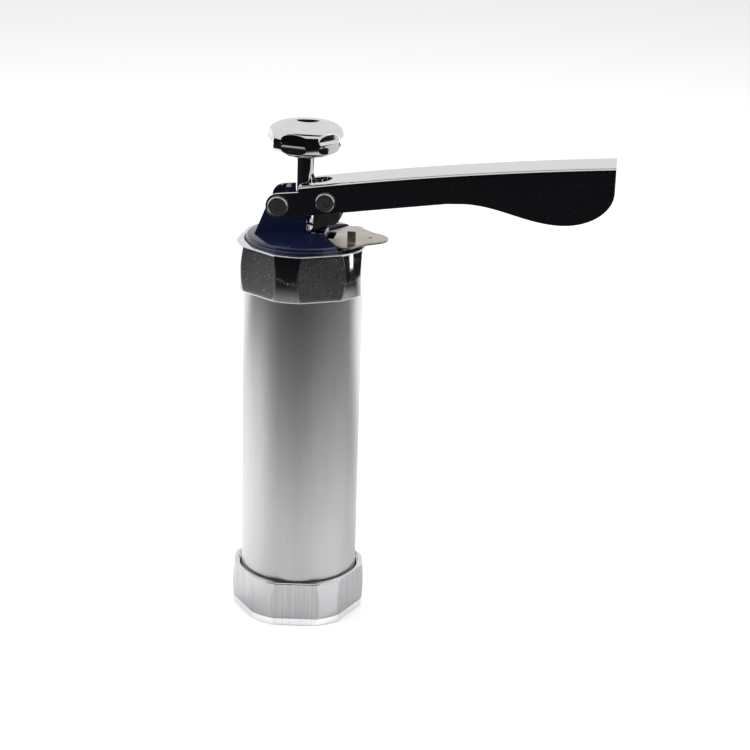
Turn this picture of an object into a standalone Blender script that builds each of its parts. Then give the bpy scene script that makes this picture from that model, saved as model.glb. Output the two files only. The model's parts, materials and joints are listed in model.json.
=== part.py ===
"""Lever cookie press: an aluminium barrel between two faceted ring nuts, with a moulded head that
carries the hand lever, its drive pawl, the catch plate and the toothed piston rod.

Sizes are in millimetres and are turned into metres as the meshes are made.  X and Y are measured
from the press axis and Z from the rim that the press stands on; the lever points along +X.
"""
import math

import bmesh
import bpy
from mathutils import Matrix, Vector

MM = 0.001
PRESS_AXIS_X = -52.95           # the world origin is under the middle of the whole press
CLEAR = 0.3                     # gap between pieces that touch
PAST = 1.0                      # how far a cutter runs past the face it opens
THROUGH = 12.0                  # half length of a cutter that crosses the lever and the tower

# Barrel and ring nuts
BARREL_R = 27.0
BARREL_BORE_R = 25.0
BARREL_BOTTOM = 10.5
BARREL_TOP = 172.7
THREAD_R = 27.35
THREAD_LENGTH = 8.0
RING_HEIGHT = 21.5
RING_CROWN_R = 30.9
RING_EDGE_R = 30.4
RING_FLAT_R = 28.95
RING_BORE_R = 27.65
RING_RELIEF_R = 28.3
RING_ROUND = ((0.8, 0.0), (0.2, 0.2), (0.0, 0.7))   # in from the edge, along from the face
TOP_RELIEF = 1.5
BOTTOM_RELIEF = 1.7
RING_FLATS = 6
TOP_RING_Z = 158.0
TOP_RING_TURN = -65.3
BOTTOM_RING_TURN = -83.6
TOP_LIP_R = 26.6
TOP_LIP = 1.9
LIP_CHAMFER = 0.3
BARREL_CHAMFER = 0.5
MOUTH_CHAMFER = 0.5
MOUTH_R = 25.0
SEAT_R = 23.2
SEAT_Z = 8.5
SEAT_LIP = 1.5
SEAT_TAPER = 1.0

# Die disc
DIE_RIM_R = 27.2
DIE_RIM_Z = (8.8, 10.2)
DIE_FACE_R = 22.7
DIE_FACE_Z = (7.3, 8.9)
DIE_DISH_R = 21.5
DIE_HOLES = 10
DIE_HOLE_R = 2.0
DIE_HOLE_CIRCLE_R = 14.5
DIE_SLOT = (13.0, 3.4)
DIE_CUT_Z = (0.0, 14.0)

# Head
SPIGOT_R = 24.7
HEAD_BOTTOM = 168.5
FLANGE_R = 27.3
FLANGE_Z = (174.9, 177.3)
NECK_R = 26.3
NECK_TOP = 180.1
RIM_STEP = ((25.5, 181.5), (25.7, 181.0), (25.7, 180.4))
DOME_RIM_R = 24.9
DOME_TOP = 184.85
DOME_FALL = 0.00478             # drop of the dome per square millimetre of radius squared
WELL_FLOOR = 171.5
WELL_R = 24.0
WELL_APEX_X = 3.5
WELL_HALF_ANGLE = 52.7
WELL_ABOVE = 190.0
MOUTH_FLOOR = 180.0
NOSE_SLOT = 3.2
PAWL_PIT_X = (3.2, 12.5)
PAWL_PIT_Y = 7.4
PAWL_PIT_FLOOR = 182.2
TOWER_Y = 8.1
TOWER_GAP = 5.9
TOWER_FOOT = (-21.6, 181.5)
TOWER_SHOULDER = (-15.4, 197.2)
TOWER_TOP = ((-12.6, 198.9), (2.2, 201.4))
TOWER_WEB = 2.4
TOWER_OPEN_X = 5.0
TOWER_FLOOR = 184.2
TOWER_ABOVE = 205.0
GASKET_BORE_R = 25.3
ROD_WAY_R = 4.7
BUSH_R = 5.7
BUSH_BORE_R = 4.5
BUSH_FLANGE_R = 7.4
BUSH_FLANGE_THICK = 1.2
BUSH_POCKET = 3.4

# Lever and its pivots
PIVOT = (-10.5, 196.3)
PAWL_PIVOT = (10.6, 199.3)
SHANK_R = 2.2
HOLE_R = 2.5
PIVOT_HEAD_R = 4.6
PAWL_HEAD_R = 4.3
HEAD_THICK = 1.3
HEAD_CHAMFER = 0.5
SPACER_R = 4.0
LEVER_Y = 9.75
LEVER_SHEET = 1.2
LEVER_BEND_R = 2.0
EAR_R = 5.6
EAR_ARC = (97, 278)
EAR_TOP = (-1.6, 203.0)
WEB_START = (-1.6, 205.5)
WEB_CONTROL = (67.0, 216.9)
WEB_END = (136.8, 222.6)
GRIP_HEEL = (114.0, 195.2)
GRIP_END_Z = 211.2
WAIST = (72.0, 202.3)
WAIST_LINE = (64.0, 201.85)
SLOT_START_X = -8.0
SLOT_END_X = 12.2
SLOT_R = 5.0
SLOT_CUT_Z = (203.2, 214.0)
HOLLOW_X = (-30.0, 150.0)
HOLLOW_BOTTOM = 170.0

# Drive pawl
PAWL_Y = 7.0
PAWL_CHEEK = 2.1
PAWL_TOP_R = 5.0
PAWL_TOP_ARC = (20, 160)
PAWL_FORK_X = (-5.0, 30.0)
PAWL_FORK_TOP = 215.0
PAWL_BLOCK_TOP = 192.0
PAWL_OUTLINE = ((5.0, 186.9), (5.0, 186.0), (5.6, 185.6), (8.6, 186.7), (12.6, 188.3),
                (14.8, 188.5), (16.3, 190.0), (17.6, 192.4), (16.6, 194.4), (16.2, 199.0))
PAWL_RELIEF = ((4.8, 187.0), (8.6, 192.1), (8.6, 206.0), (3.0, 206.0), (3.0, 187.0))
PAWL_LEFT = (4.8, 199.0)

# Catch plate
CATCH_PIVOT = (15.5, 178.2)
CATCH_PIN_R = 1.25
CATCH_TOP = 181.5
CATCH_SHEET = 1.0
CATCH_HALF = ((8.75, 5.2), (18.4, 17.5), (23.2, 17.5), (26.0, 13.2), (29.5, 9.6), (35.5, 5.6),
              (37.3, 3.2), (38.0, 1.2))
CATCH_WINDOW = ((10.5, 14.0), 5.2)
CATCH_CUT_Z = (170.0, 190.0)
CATCH_TAB_TOP = 183.4
CATCH_LUG_X = (20.8, 24.6)
CATCH_LUG_Y = (-10.0, -8.9)
CATCH_LUG_Z = (181.0, 186.8)
CATCH_TONGUE = ((9.2, 181.45), (8.0, 180.9), (4.5, 177.6), (4.5, 176.8), (5.5, 176.6), (9.6, 180.6))
CATCH_TONGUE_Y = 2.4
CATCH_EAR_Y = 9.5
CATCH_EAR_HALF = 0.6
CATCH_EAR_R = 2.4
CATCH_EAR_TOP = ((13.2, 181.0), (17.6, 181.0))
CATCH_PIN_HALF = 18.0

# Rod, knob and piston
ROD_R = 4.2
ROD_BOTTOM = 26.3
ROD_TOP = 217.2
ROD_STUD_R = 2.6
ROD_STUD_TOP = 225.6
ROD_TAIL_R = 2.2
ROD_TAIL_BOTTOM = 19.8
TEETH_FROM = 50.0
TEETH_TO = 194.0
TOOTH_PITCH = 3.2
TOOTH_TIP_X = 3.6
TOOTH_ROOT_X = 2.6
TEETH_CUT_X = 6.0
KNOB_R = 17.0
KNOB_SHOULDER = 3.3
KNOB_BULGE = 3.8
KNOB_TURN = -41.0
KNOB_FLAT_R = 16.05
KNOB_FLAT_FALL = 0.9
KNOB_FLAT_Z = (235.6, 215.6)
KNOB_Z = (219.8, 225.6, 231.4)
KNOB_BOSS_R = 6.2
KNOB_FLARE = (7.6, 219.8)
KNOB_BOSS_BOTTOM = 217.5
KNOB_BORE_R = 4.7
KNOB_DISH = ((0, 3.0), (1.6, 3.0), (2.4, 3.3), (6.0, 2.8), (9.3, 1.4), (10.6, 0))
INSERT_R = 4.4
PISTON_R = 24.6
PISTON_Z = (19.0, 31.0)
PISTON_EDGE = 1.0
PISTON_HUB_R = 8.0
PISTON_HUB_RISE = 2.0
PISTON_FLOOR = 4.2
PISTON_WALL = 3.9
PISTON_FOOT = 0.6
PISTON_WEB = 2.6
PISTON_POCKET_R = 6.2
GROOVE_DEPTH = 1.7
GROOVE_HALF = 1.2
SEAL_Z = 24.6
SEAL_R = 0.85
SEAL_PROUD = 0.1
WASHER_R = 5.8
WASHER_THICK = 0.8
NUT_ACROSS = 8.0


def clear_scene():
    for old in list(bpy.data.objects):
        bpy.data.objects.remove(old)


def collection(name):
    made = bpy.data.collections.new(name)
    bpy.context.scene.collection.children.link(made)
    return made


clear_scene()
PRESS = collection("cookie_press")
CUTTERS = collection("cutters")
AXIS = bpy.data.objects.new("press_axis", None)
AXIS.location = (PRESS_AXIS_X * MM, 0, 0)
PRESS.objects.link(AXIS)


def finish(name, colour, roughness, metallic):
    """One Principled material, named after its finish."""
    made = bpy.data.materials.new(name)
    made.use_nodes = True
    shader = made.node_tree.nodes["Principled BSDF"]
    shader.inputs["Base Color"].default_value = (*colour, 1)
    shader.inputs["Roughness"].default_value = roughness
    shader.inputs["Metallic"].default_value = metallic
    return made


def add(name, mesh, material=None, place=(0, 0, 0), turn=(0, 0, 0)):
    """Put a mesh in the press, or with no material in the cutters."""
    piece = bpy.data.objects.new(name, mesh)
    if material:
        PRESS.objects.link(piece)
        mesh.materials.append(material)
    else:
        CUTTERS.objects.link(piece)
        piece.hide_render = True
        piece.display_type = "WIRE"
    piece.parent = AXIS
    piece.location = Vector(place) * MM
    piece.rotation_euler = [math.radians(angle) for angle in turn]
    return piece


def turned(name, profile, material=None, steps=48, place=(0, 0, 0), turn=(0, 0, 0), closed=True):
    """Turn a profile of (radius, height) about Z.  A closed one is a ring; an open one ends on the axis."""
    points = [(r * MM, 0, z * MM) for r, z in profile]
    edges = [(i, i + 1) for i in range(len(points) - 1)]
    if closed:
        edges.append((len(points) - 1, 0))
    mesh = bpy.data.meshes.new(name)
    mesh.from_pydata(points, edges, [])
    piece = add(name, mesh, material, place, turn)
    screw = piece.modifiers.new("turn", "SCREW")
    screw.steps = screw.render_steps = steps
    screw.use_merge_vertices = True
    screw.merge_threshold = 0.00001
    screw.use_smooth_shade = False
    return piece


def flat_mesh(name, outline, low, high, upright=False):
    """A slab on a closed outline: from low to high in Z, or upright, with the outline in XZ, in Y."""
    curve = bpy.data.curves.new(name, "CURVE")
    curve.dimensions = "2D"
    curve.fill_mode = "BOTH"
    curve.extrude = (high - low) / 2 * MM
    spline = curve.splines.new("POLY")
    spline.points.add(len(outline) - 1)
    for point, (x, y) in zip(spline.points, outline):
        point.co = (x * MM, y * MM, 0, 1)
    spline.use_cyclic_u = True
    holder = bpy.data.objects.new(name, curve)
    PRESS.objects.link(holder)
    graph = bpy.context.evaluated_depsgraph_get()
    mesh = bpy.data.meshes.new_from_object(holder.evaluated_get(graph))
    bpy.data.objects.remove(holder)
    middle = (low + high) / 2 * MM
    bm = bmesh.new()
    bm.from_mesh(mesh)
    bmesh.ops.remove_doubles(bm, verts=bm.verts, dist=0.000001)
    if upright:
        bm.transform(Matrix.Translation((0, middle, 0)) @ Matrix.Rotation(math.pi / 2, 4, "X"))
    else:
        bm.transform(Matrix.Translation((0, 0, middle)))
    bmesh.ops.recalc_face_normals(bm, faces=bm.faces)
    bm.to_mesh(mesh)
    bm.free()
    mesh.name = name
    return mesh


def slab(name, outline, low, high, material=None, upright=False, pivot=(0, 0)):
    """A flat solid whose origin is moved to a pivot (x, z)."""
    mesh = flat_mesh(name, outline, low, high, upright)
    mesh.transform(Matrix.Translation((-pivot[0] * MM, 0, -pivot[1] * MM)))
    return add(name, mesh, material, (pivot[0], 0, pivot[1]))


def box(name, x, y, z):
    """A cutter block between pairs of x, y and z."""
    corners = ((x[0], y[0]), (x[1], y[0]), (x[1], y[1]), (x[0], y[1]))
    return slab(name, corners, z[0], z[1])


def peg(name, radius, low, high, centre=(0, 0), sides=24):
    """A cutter cylinder along Z."""
    return slab(name, arc(centre, radius, 0, 360 - 360 / sides, sides - 1), low, high)


def crossbar(name, radius, centre, half_length, steps=20):
    """A cutter cylinder along Y at a centre (x, z)."""
    profile = ((0, half_length), (radius, half_length), (radius, -half_length), (0, -half_length))
    return turned(name, profile, None, steps, (centre[0], 0, centre[1]), (90, 0, 0), closed=False)


def boolean(piece, cutter, operation="DIFFERENCE"):
    step = piece.modifiers.new(operation.lower(), "BOOLEAN")
    step.operation = operation
    step.solver = "EXACT"
    step.object = cutter


def arc(centre, radius, start, end, count):
    """Points on a circle between two angles in degrees."""
    angles = [math.radians(start + (end - start) * i / count) for i in range(count + 1)]
    return [(centre[0] + radius * math.cos(a), centre[1] + radius * math.sin(a)) for a in angles]


def wire(name, path, radius, material, pivot):
    """A round wire through points, with its origin at a pivot (x, z)."""
    curve = bpy.data.curves.new(name, "CURVE")
    curve.dimensions = "3D"
    curve.bevel_depth = radius * MM
    curve.bevel_resolution = 2
    curve.use_fill_caps = True
    spline = curve.splines.new("POLY")
    spline.points.add(len(path) - 1)
    for point, (x, y, z) in zip(spline.points, path):
        point.co = ((x - pivot[0]) * MM, y * MM, (z - pivot[1]) * MM, 1)
    coil = bpy.data.objects.new(name, curve)
    PRESS.objects.link(coil)
    curve.materials.append(material)
    coil.parent = AXIS
    coil.location = (pivot[0] * MM, 0, pivot[1] * MM)
    return coil


def torsion_coil(centre, radius, y_from, pitch, turns, start, end_leg, start_leg, per_turn=9):
    """A coil about a Y axis between two straight legs."""
    count = round(turns * per_turn)
    path = [start_leg]
    for i in range(count + 1):
        angle = math.radians(start + 360 * i / per_turn)
        path.append((centre[0] + radius * math.cos(angle), y_from + pitch * i / per_turn,
                     centre[1] + radius * math.sin(angle)))
    path.append(end_leg)
    return path


def crown(bottom, count=4):
    """Outer side of a ring nut, top to bottom: a shallow crown between small edge rounds."""
    top = bottom + RING_HEIGHT
    *edge, (_, crown_from) = RING_ROUND
    side = [(RING_EDGE_R - inset, top - along) for inset, along in edge]
    for i in range(count + 1):
        t = 2 * i / count - 1
        reach = RING_CROWN_R - (RING_CROWN_R - RING_EDGE_R) * t * t
        side.append((reach, top - crown_from - (RING_HEIGHT - 2 * crown_from) * i / count))
    return side + [(RING_EDGE_R - inset, bottom + along) for inset, along in edge[::-1]]


def facet(piece, name, flat_r, levels, turn, flats=RING_FLATS):
    """Keep what lies inside a prism with flat sides; levels pair each height with a change of size."""
    corner = [((flat_r + change) / math.cos(math.pi / flats), z) for z, change in levels]
    profile = [(0, levels[0][0])] + corner + [(0, levels[-1][0])]
    prism = turned(name, profile, None, flats, turn=(0, 0, turn + 180 / flats), closed=False)
    boolean(piece, prism, "INTERSECT")


def make_barrel(aluminium):
    top, bottom, chamfer = BARREL_TOP, BARREL_BOTTOM, BARREL_CHAMFER
    profile = [(THREAD_R - chamfer, top), (THREAD_R, top - chamfer), (THREAD_R, top - THREAD_LENGTH),
               (BARREL_R, top - THREAD_LENGTH - chamfer), (BARREL_R, bottom + THREAD_LENGTH + chamfer),
               (THREAD_R, bottom + THREAD_LENGTH), (THREAD_R, bottom + chamfer), (THREAD_R - chamfer, bottom),
               (BARREL_BORE_R, bottom), (BARREL_BORE_R, top)]
    turned("barrel", profile, aluminium, steps=48)


def make_top_ring(chrome):
    low, high = TOP_RING_Z, TOP_RING_Z + RING_HEIGHT
    inner = [(RING_RELIEF_R, low), (RING_RELIEF_R, low + TOP_RELIEF), (RING_BORE_R, low + TOP_RELIEF),
             (RING_BORE_R, high - TOP_LIP), (TOP_LIP_R, high - TOP_LIP), (TOP_LIP_R, high - LIP_CHAMFER),
             (TOP_LIP_R + LIP_CHAMFER, high)]
    ring = turned("top_ring_nut", crown(low) + inner, chrome, steps=60)
    facet(ring, "top_ring_flats", RING_FLAT_R, ((high + PAST, 0), (low - PAST, 0)), TOP_RING_TURN)


def make_bottom_ring(chrome):
    high = RING_HEIGHT
    lip = SEAT_Z - SEAT_LIP
    inner = [(MOUTH_R + MOUTH_CHAMFER, 0), (MOUTH_R, MOUTH_CHAMFER), (MOUTH_R, lip - SEAT_TAPER),
             (SEAT_R, lip), (SEAT_R, SEAT_Z), (RING_BORE_R, SEAT_Z), (RING_BORE_R, high - BOTTOM_RELIEF),
             (RING_RELIEF_R, high - BOTTOM_RELIEF), (RING_RELIEF_R, high)]
    ring = turned("bottom_ring_nut", crown(0) + inner, chrome, steps=60)
    facet(ring, "bottom_ring_flats", RING_FLAT_R, ((high + PAST, 0), (-PAST, 0)), BOTTOM_RING_TURN)


def make_die(aluminium):
    (rim_low, rim_high), (face_low, face_high) = DIE_RIM_Z, DIE_FACE_Z
    profile = [(0, face_high), (DIE_DISH_R, face_high), (DIE_DISH_R, rim_high), (DIE_RIM_R, rim_high),
               (DIE_RIM_R, rim_low), (DIE_FACE_R, rim_low), (DIE_FACE_R, face_low), (0, face_low)]
    die = turned("die_disc", profile, aluminium, steps=40, closed=False)
    for i in range(DIE_HOLES):
        angle = 2 * math.pi * (i + 0.5) / DIE_HOLES
        centre = (DIE_HOLE_CIRCLE_R * math.cos(angle), DIE_HOLE_CIRCLE_R * math.sin(angle))
        boolean(die, peg(f"die_hole_{i}", DIE_HOLE_R, *DIE_CUT_Z, centre, sides=10))
    half, radius = (DIE_SLOT[0] - DIE_SLOT[1]) / 2, DIE_SLOT[1] / 2
    outline = arc((half, 0), radius, -90, 90, 6) + arc((-half, 0), radius, 90, 270, 6)
    boolean(die, slab("die_slot", outline, *DIE_CUT_Z))


def dome(radius):
    return DOME_TOP - DOME_FALL * radius * radius


def tower_outline():
    return [TOWER_FOOT, TOWER_SHOULDER, *TOWER_TOP, (TOWER_TOP[1][0], TOWER_FOOT[1])][::-1]


def sector(reach):
    """Half of the wedge-shaped opening under the lever, as points out to a radius."""
    angle = math.radians(WELL_HALF_ANGLE)
    along = -WELL_APEX_X * math.cos(angle) + math.sqrt(reach ** 2 - (WELL_APEX_X * math.sin(angle)) ** 2)
    end = (WELL_APEX_X + along * math.cos(angle), along * math.sin(angle))
    return (WELL_APEX_X + NOSE_SLOT / math.tan(angle), NOSE_SLOT), end


def wedge(reach):
    start, end = sector(reach)
    spread = math.degrees(math.atan2(end[1], end[0]))
    rim = arc((0, 0), reach, -spread, spread, 12)
    return [(0, -NOSE_SLOT), (start[0], -start[1]), *rim, start, (0, NOSE_SLOT)]


def make_head(blue):
    """Moulded head: spigot, flange, dome and the two tower walls, with the well for the catch."""
    rim = [(DOME_RIM_R * i / 4, dome(DOME_RIM_R * i / 4)) for i in range(5)]
    profile = rim + [*RIM_STEP, (NECK_R, NECK_TOP), (NECK_R, FLANGE_Z[1]),
                     (FLANGE_R, FLANGE_Z[1]), (FLANGE_R, FLANGE_Z[0]), (SPIGOT_R, FLANGE_Z[0]),
                     (SPIGOT_R, HEAD_BOTTOM), (0, HEAD_BOTTOM)]
    head = turned("head_cap", profile, blue, steps=48, closed=False)
    boolean(head, slab("tower_body", tower_outline(), -TOWER_Y, TOWER_Y, upright=True), "UNION")
    (foot_x, foot_z), (shoulder_x, shoulder_z) = TOWER_FOOT, TOWER_SHOULDER
    lean = (shoulder_x - foot_x) / (shoulder_z - foot_z)
    back = [(shoulder_x + TOWER_WEB + lean * (z - shoulder_z), z) for z in (TOWER_ABOVE, TOWER_FLOOR)]
    core = [(TOWER_OPEN_X, TOWER_FLOOR), (TOWER_OPEN_X, TOWER_ABOVE), *back]
    boolean(head, slab("tower_core", core[::-1], -TOWER_GAP, TOWER_GAP, upright=True))
    boolean(head, slab("well", wedge(WELL_R), WELL_FLOOR, WELL_ABOVE))
    boolean(head, slab("well_mouth", wedge(WELL_R + 8), MOUTH_FLOOR, WELL_ABOVE))
    pit = box("pawl_pit", PAWL_PIT_X, (-PAWL_PIT_Y, PAWL_PIT_Y), (PAWL_PIT_FLOOR, WELL_ABOVE))
    boolean(head, pit)
    boolean(head, peg("rod_way", ROD_WAY_R, WELL_FLOOR - PAST, WELL_ABOVE))
    boolean(head, peg("bush_seat", BUSH_R + CLEAR, HEAD_BOTTOM - PAST, WELL_FLOOR + BUSH_POCKET))
    boolean(head, peg("bush_flange_seat", BUSH_FLANGE_R + CLEAR, WELL_FLOOR, WELL_FLOOR + BUSH_POCKET))
    boolean(head, crossbar("pivot_bore", HOLE_R, PIVOT, THROUGH))
    boolean(head, crossbar("catch_bore", CATCH_PIN_R + CLEAR, CATCH_PIVOT, CATCH_PIN_HALF + CLEAR, steps=12))


def make_gasket(rubber):
    low, high = BARREL_TOP + CLEAR, FLANGE_Z[0] - CLEAR
    profile = [(FLANGE_R, high), (FLANGE_R, low), (GASKET_BORE_R, low), (GASKET_BORE_R, high)]
    turned("cap_gasket", profile, rubber, steps=32)


def make_bush(brass):
    seat = WELL_FLOOR + CLEAR
    top = seat + BUSH_FLANGE_THICK
    profile = [(BUSH_FLANGE_R, top), (BUSH_FLANGE_R, seat), (BUSH_R, seat), (BUSH_R, HEAD_BOTTOM),
               (BUSH_BORE_R, HEAD_BOTTOM), (BUSH_BORE_R, top)]
    turned("rod_bush", profile, brass, steps=24)


def web_curve(drop, count=10):
    """The lever's top line, or a line below it, from the ears to the end: a quadratic curve."""
    points = []
    for i in range(count + 1):
        t = i / count
        x, z = ((1 - t) ** 2 * start + 2 * t * (1 - t) * control + t * t * end
                for start, control, end in zip(WEB_START, WEB_CONTROL, WEB_END))
        points.append((x, z - drop))
    return points


def lever_outline():
    """Side of the lever: round the ear, along the underside to the end and back over the top."""
    ear = arc(PIVOT, EAR_R, *EAR_ARC, 12)
    waist = []
    for i in range(9):
        t = i / 8
        rise = (WAIST[1] - GRIP_HEEL[1]) * (1 + math.cos(math.pi * t)) / 2
        waist.append((WAIST[0] + (GRIP_HEEL[0] - WAIST[0]) * t, GRIP_HEEL[1] + rise))
    heel = []
    for i in range(1, 11):
        angle = math.pi / 2 * i / 10
        heel.append((GRIP_HEEL[0] + (WEB_END[0] - GRIP_HEEL[0]) * math.sin(angle),
                     GRIP_END_Z - (GRIP_END_Z - GRIP_HEEL[1]) * math.cos(angle)))
    return [EAR_TOP, *ear, WAIST_LINE, *waist, *heel, *web_curve(0)[::-1]]


def round_bend(piece, half_width, drop, radius, segments):
    """Round the two long edges where the web turns down into the sides."""
    line = web_curve(drop)
    bm = bmesh.new()
    bm.from_mesh(piece.data)
    chosen = []
    for edge in bm.edges:
        ends = [vert.co / MM + Vector((piece.location[0], 0, piece.location[2])) / MM for vert in edge.verts]
        on_side = all(abs(abs(p.y) - half_width) < 0.01 for p in ends) and ends[0].y * ends[1].y > 0
        on_line = all(any(abs(p.x - x) < 0.01 and abs(p.z - z) < 0.01 for x, z in line) for p in ends)
        if on_side and on_line:
            chosen.append(edge)
    bmesh.ops.bevel(bm, geom=chosen, offset=radius * MM, segments=segments, profile=0.5, affect="EDGES",
                    clamp_overlap=False)
    bm.to_mesh(piece.data)
    bm.free()


def make_lever(chrome):
    """Pressed channel, open below and at both ends, with ears on the pivot and a slot for the rod."""
    lever = slab("handle", lever_outline(), -LEVER_Y, LEVER_Y, chrome, True, PIVOT)
    round_bend(lever, LEVER_Y, 0, LEVER_BEND_R, 3)
    inside = LEVER_Y - LEVER_SHEET
    line = web_curve(LEVER_SHEET)
    (near, far), low = HOLLOW_X, HOLLOW_BOTTOM
    hollow_outline = [(near, low), (far, low), (far, line[-1][1]), *line[::-1], (near, line[0][1])]
    hollow = slab("lever_hollow", hollow_outline, -inside, inside, upright=True)
    round_bend(hollow, inside, LEVER_SHEET, LEVER_BEND_R - LEVER_SHEET, 2)
    boolean(lever, hollow)
    slot = arc((SLOT_END_X - SLOT_R, 0), SLOT_R, -90, 90, 12)
    slot += [(SLOT_START_X, SLOT_R), (SLOT_START_X, -SLOT_R)]
    boolean(lever, slab("rod_slot", slot, *SLOT_CUT_Z))
    boolean(lever, crossbar("lever_pivot_hole", HOLE_R, PIVOT, THROUGH))
    boolean(lever, crossbar("lever_pawl_hole", HOLE_R, PAWL_PIVOT, THROUGH))


def make_rivet(name, head_r, centre, steel):
    """Shouldered rivet along Y with a flat, chamfered head on each side of the lever."""
    inner, chamfer = LEVER_Y + CLEAR, HEAD_CHAMFER
    outer = inner + HEAD_THICK
    half = [(0, outer), (head_r - chamfer, outer), (head_r, outer - chamfer), (head_r, inner),
            (SHANK_R, inner)]
    profile = half + [(r, -z) for r, z in half[::-1]]
    turned(name, profile, steel, 24, (centre[0], 0, centre[1]), (90, 0, 0), closed=False)


def make_spacer(name, side, steel):
    """Washer that keeps the drive pawl centred between the lever's sides."""
    near, far = PAWL_Y + CLEAR, LEVER_Y - LEVER_SHEET - CLEAR
    profile = [(SPACER_R, far), (SPACER_R, near), (HOLE_R, near), (HOLE_R, far)]
    turned(name, profile, steel, 20, (PAWL_PIVOT[0], 0, PAWL_PIVOT[1]), (-90 * side, 0, 0))


def make_pawl(dark_steel):
    """Drive pawl: a solid nose block under two cheeks that hang on the second rivet."""
    outline = [*PAWL_OUTLINE, *arc(PAWL_PIVOT, PAWL_TOP_R, *PAWL_TOP_ARC, 8), PAWL_LEFT]
    pawl = slab("drive_pawl", outline, -PAWL_Y, PAWL_Y, dark_steel, True, PAWL_PIVOT)
    cheek = PAWL_Y - PAWL_CHEEK
    boolean(pawl, box("pawl_fork", PAWL_FORK_X, (-cheek, cheek), (PAWL_BLOCK_TOP, PAWL_FORK_TOP)))
    boolean(pawl, slab("pawl_relief", PAWL_RELIEF[::-1], -cheek, cheek, upright=True))
    boolean(pawl, crossbar("pawl_bore", HOLE_R, PAWL_PIVOT, THROUGH))


def make_pawl_spring(spring_steel):
    path = torsion_coil(PAWL_PIVOT, radius=3.1, y_from=-2.2, pitch=1.4, turns=2.75, start=80,
                        end_leg=(12.4, 1.7, 193.2), start_leg=(17.2, -2.2, 203.6))
    wire("pawl_spring", path, 0.4, spring_steel, PAWL_PIVOT)


def make_catch(nickel):
    """Catch plate: sheet with a thumb tab, window with a raised edge, stop lug, ears and tongue."""
    outline = [*CATCH_HALF, *[(x, -y) for x, y in CATCH_HALF[::-1]]]
    plate = slab("catch_plate", outline[::-1], CATCH_TOP - CATCH_SHEET, CATCH_TOP, nickel, False, CATCH_PIVOT)
    window, window_y = CATCH_WINDOW
    boolean(plate, box("catch_window", window, (-window_y, window_y), CATCH_CUT_Z))
    boolean(plate, box("catch_tab", (window[0] - CATCH_SHEET, window[0]), (-window_y, window_y),
                       (CATCH_TOP - CATCH_SHEET, CATCH_TAB_TOP)), "UNION")
    boolean(plate, box("catch_lug", CATCH_LUG_X, CATCH_LUG_Y, CATCH_LUG_Z), "UNION")
    tongue = slab("catch_tongue", CATCH_TONGUE[::-1], -CATCH_TONGUE_Y, CATCH_TONGUE_Y, upright=True)
    boolean(plate, tongue, "UNION")
    left, right = CATCH_EAR_TOP
    ear = [left, *arc(CATCH_PIVOT, CATCH_EAR_R, 180, 360, 8), right]
    for side in (-1, 1):
        low, high = side * CATCH_EAR_Y - CATCH_EAR_HALF, side * CATCH_EAR_Y + CATCH_EAR_HALF
        boolean(plate, slab(f"catch_ear_{side}", ear, low, high, upright=True), "UNION")
    boolean(plate, crossbar("catch_ear_bore", CATCH_PIN_R + CLEAR, CATCH_PIVOT, THROUGH, steps=12))


def make_catch_pin(steel):
    half = CATCH_PIN_HALF
    profile = [(0, half), (CATCH_PIN_R, half), (CATCH_PIN_R, -half), (0, -half)]
    turned("catch_pin", profile, steel, 16, (CATCH_PIVOT[0], 0, CATCH_PIVOT[1]), (90, 0, 0), closed=False)


def make_catch_spring(spring_steel):
    path = torsion_coil(CATCH_PIVOT, radius=1.8, y_from=4.4, pitch=1.0, turns=3.0, start=240,
                        end_leg=(12.0, 7.5, 179.7), start_leg=(11.6, 4.4, 173.4))
    wire("catch_spring", path, 0.3, spring_steel, CATCH_PIVOT)


def make_rod(steel):
    """Round rod with ratchet teeth in a flat on its lever side, ledges facing up."""
    profile = [(0, ROD_STUD_TOP), (ROD_STUD_R, ROD_STUD_TOP), (ROD_STUD_R, ROD_TOP), (ROD_R, ROD_TOP),
               (ROD_R, ROD_BOTTOM), (ROD_TAIL_R, ROD_BOTTOM), (ROD_TAIL_R, ROD_TAIL_BOTTOM),
               (0, ROD_TAIL_BOTTOM)]
    rod = turned("rod", profile, steel, steps=20, closed=False)
    count = round((TEETH_TO - TEETH_FROM) / TOOTH_PITCH)
    saw = [(TEETH_CUT_X, TEETH_FROM)]
    for i in range(count):
        low = TEETH_FROM + i * TOOTH_PITCH
        saw += [(TOOTH_ROOT_X, low), (TOOTH_TIP_X, low + TOOTH_PITCH)]
    saw += [(TEETH_CUT_X, TEETH_FROM + count * TOOTH_PITCH)]
    boolean(rod, slab("rod_teeth", saw[::-1], -TEETH_CUT_X, TEETH_CUT_X, upright=True))


def make_knob(chrome):
    """Faceted grip knob, hollow below for its insert and dished on top."""
    low, middle, high = KNOB_Z
    side = []
    for i in range(7):
        t = i / 6
        z = high + (low - high) * t
        reach = high - middle if z > middle else middle - low
        side.append((KNOB_R - KNOB_SHOULDER * abs((z - middle) / reach) ** KNOB_BULGE, z))
    bore, bore_top = KNOB_BORE_R, ROD_STUD_TOP + CLEAR
    profile = [(radius, high - depth) for radius, depth in KNOB_DISH] + side
    profile += [KNOB_FLARE, (KNOB_BOSS_R, KNOB_BOSS_BOTTOM), (bore, KNOB_BOSS_BOTTOM),
                (bore, bore_top), (0, bore_top)]
    knob = turned("knob", profile, chrome, steps=42, closed=False)
    top, bottom = KNOB_FLAT_Z
    levels = ((top, -KNOB_FLAT_FALL), (middle, 0), (bottom, -KNOB_FLAT_FALL))
    facet(knob, "knob_flats", KNOB_FLAT_R, levels, KNOB_TURN)


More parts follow.
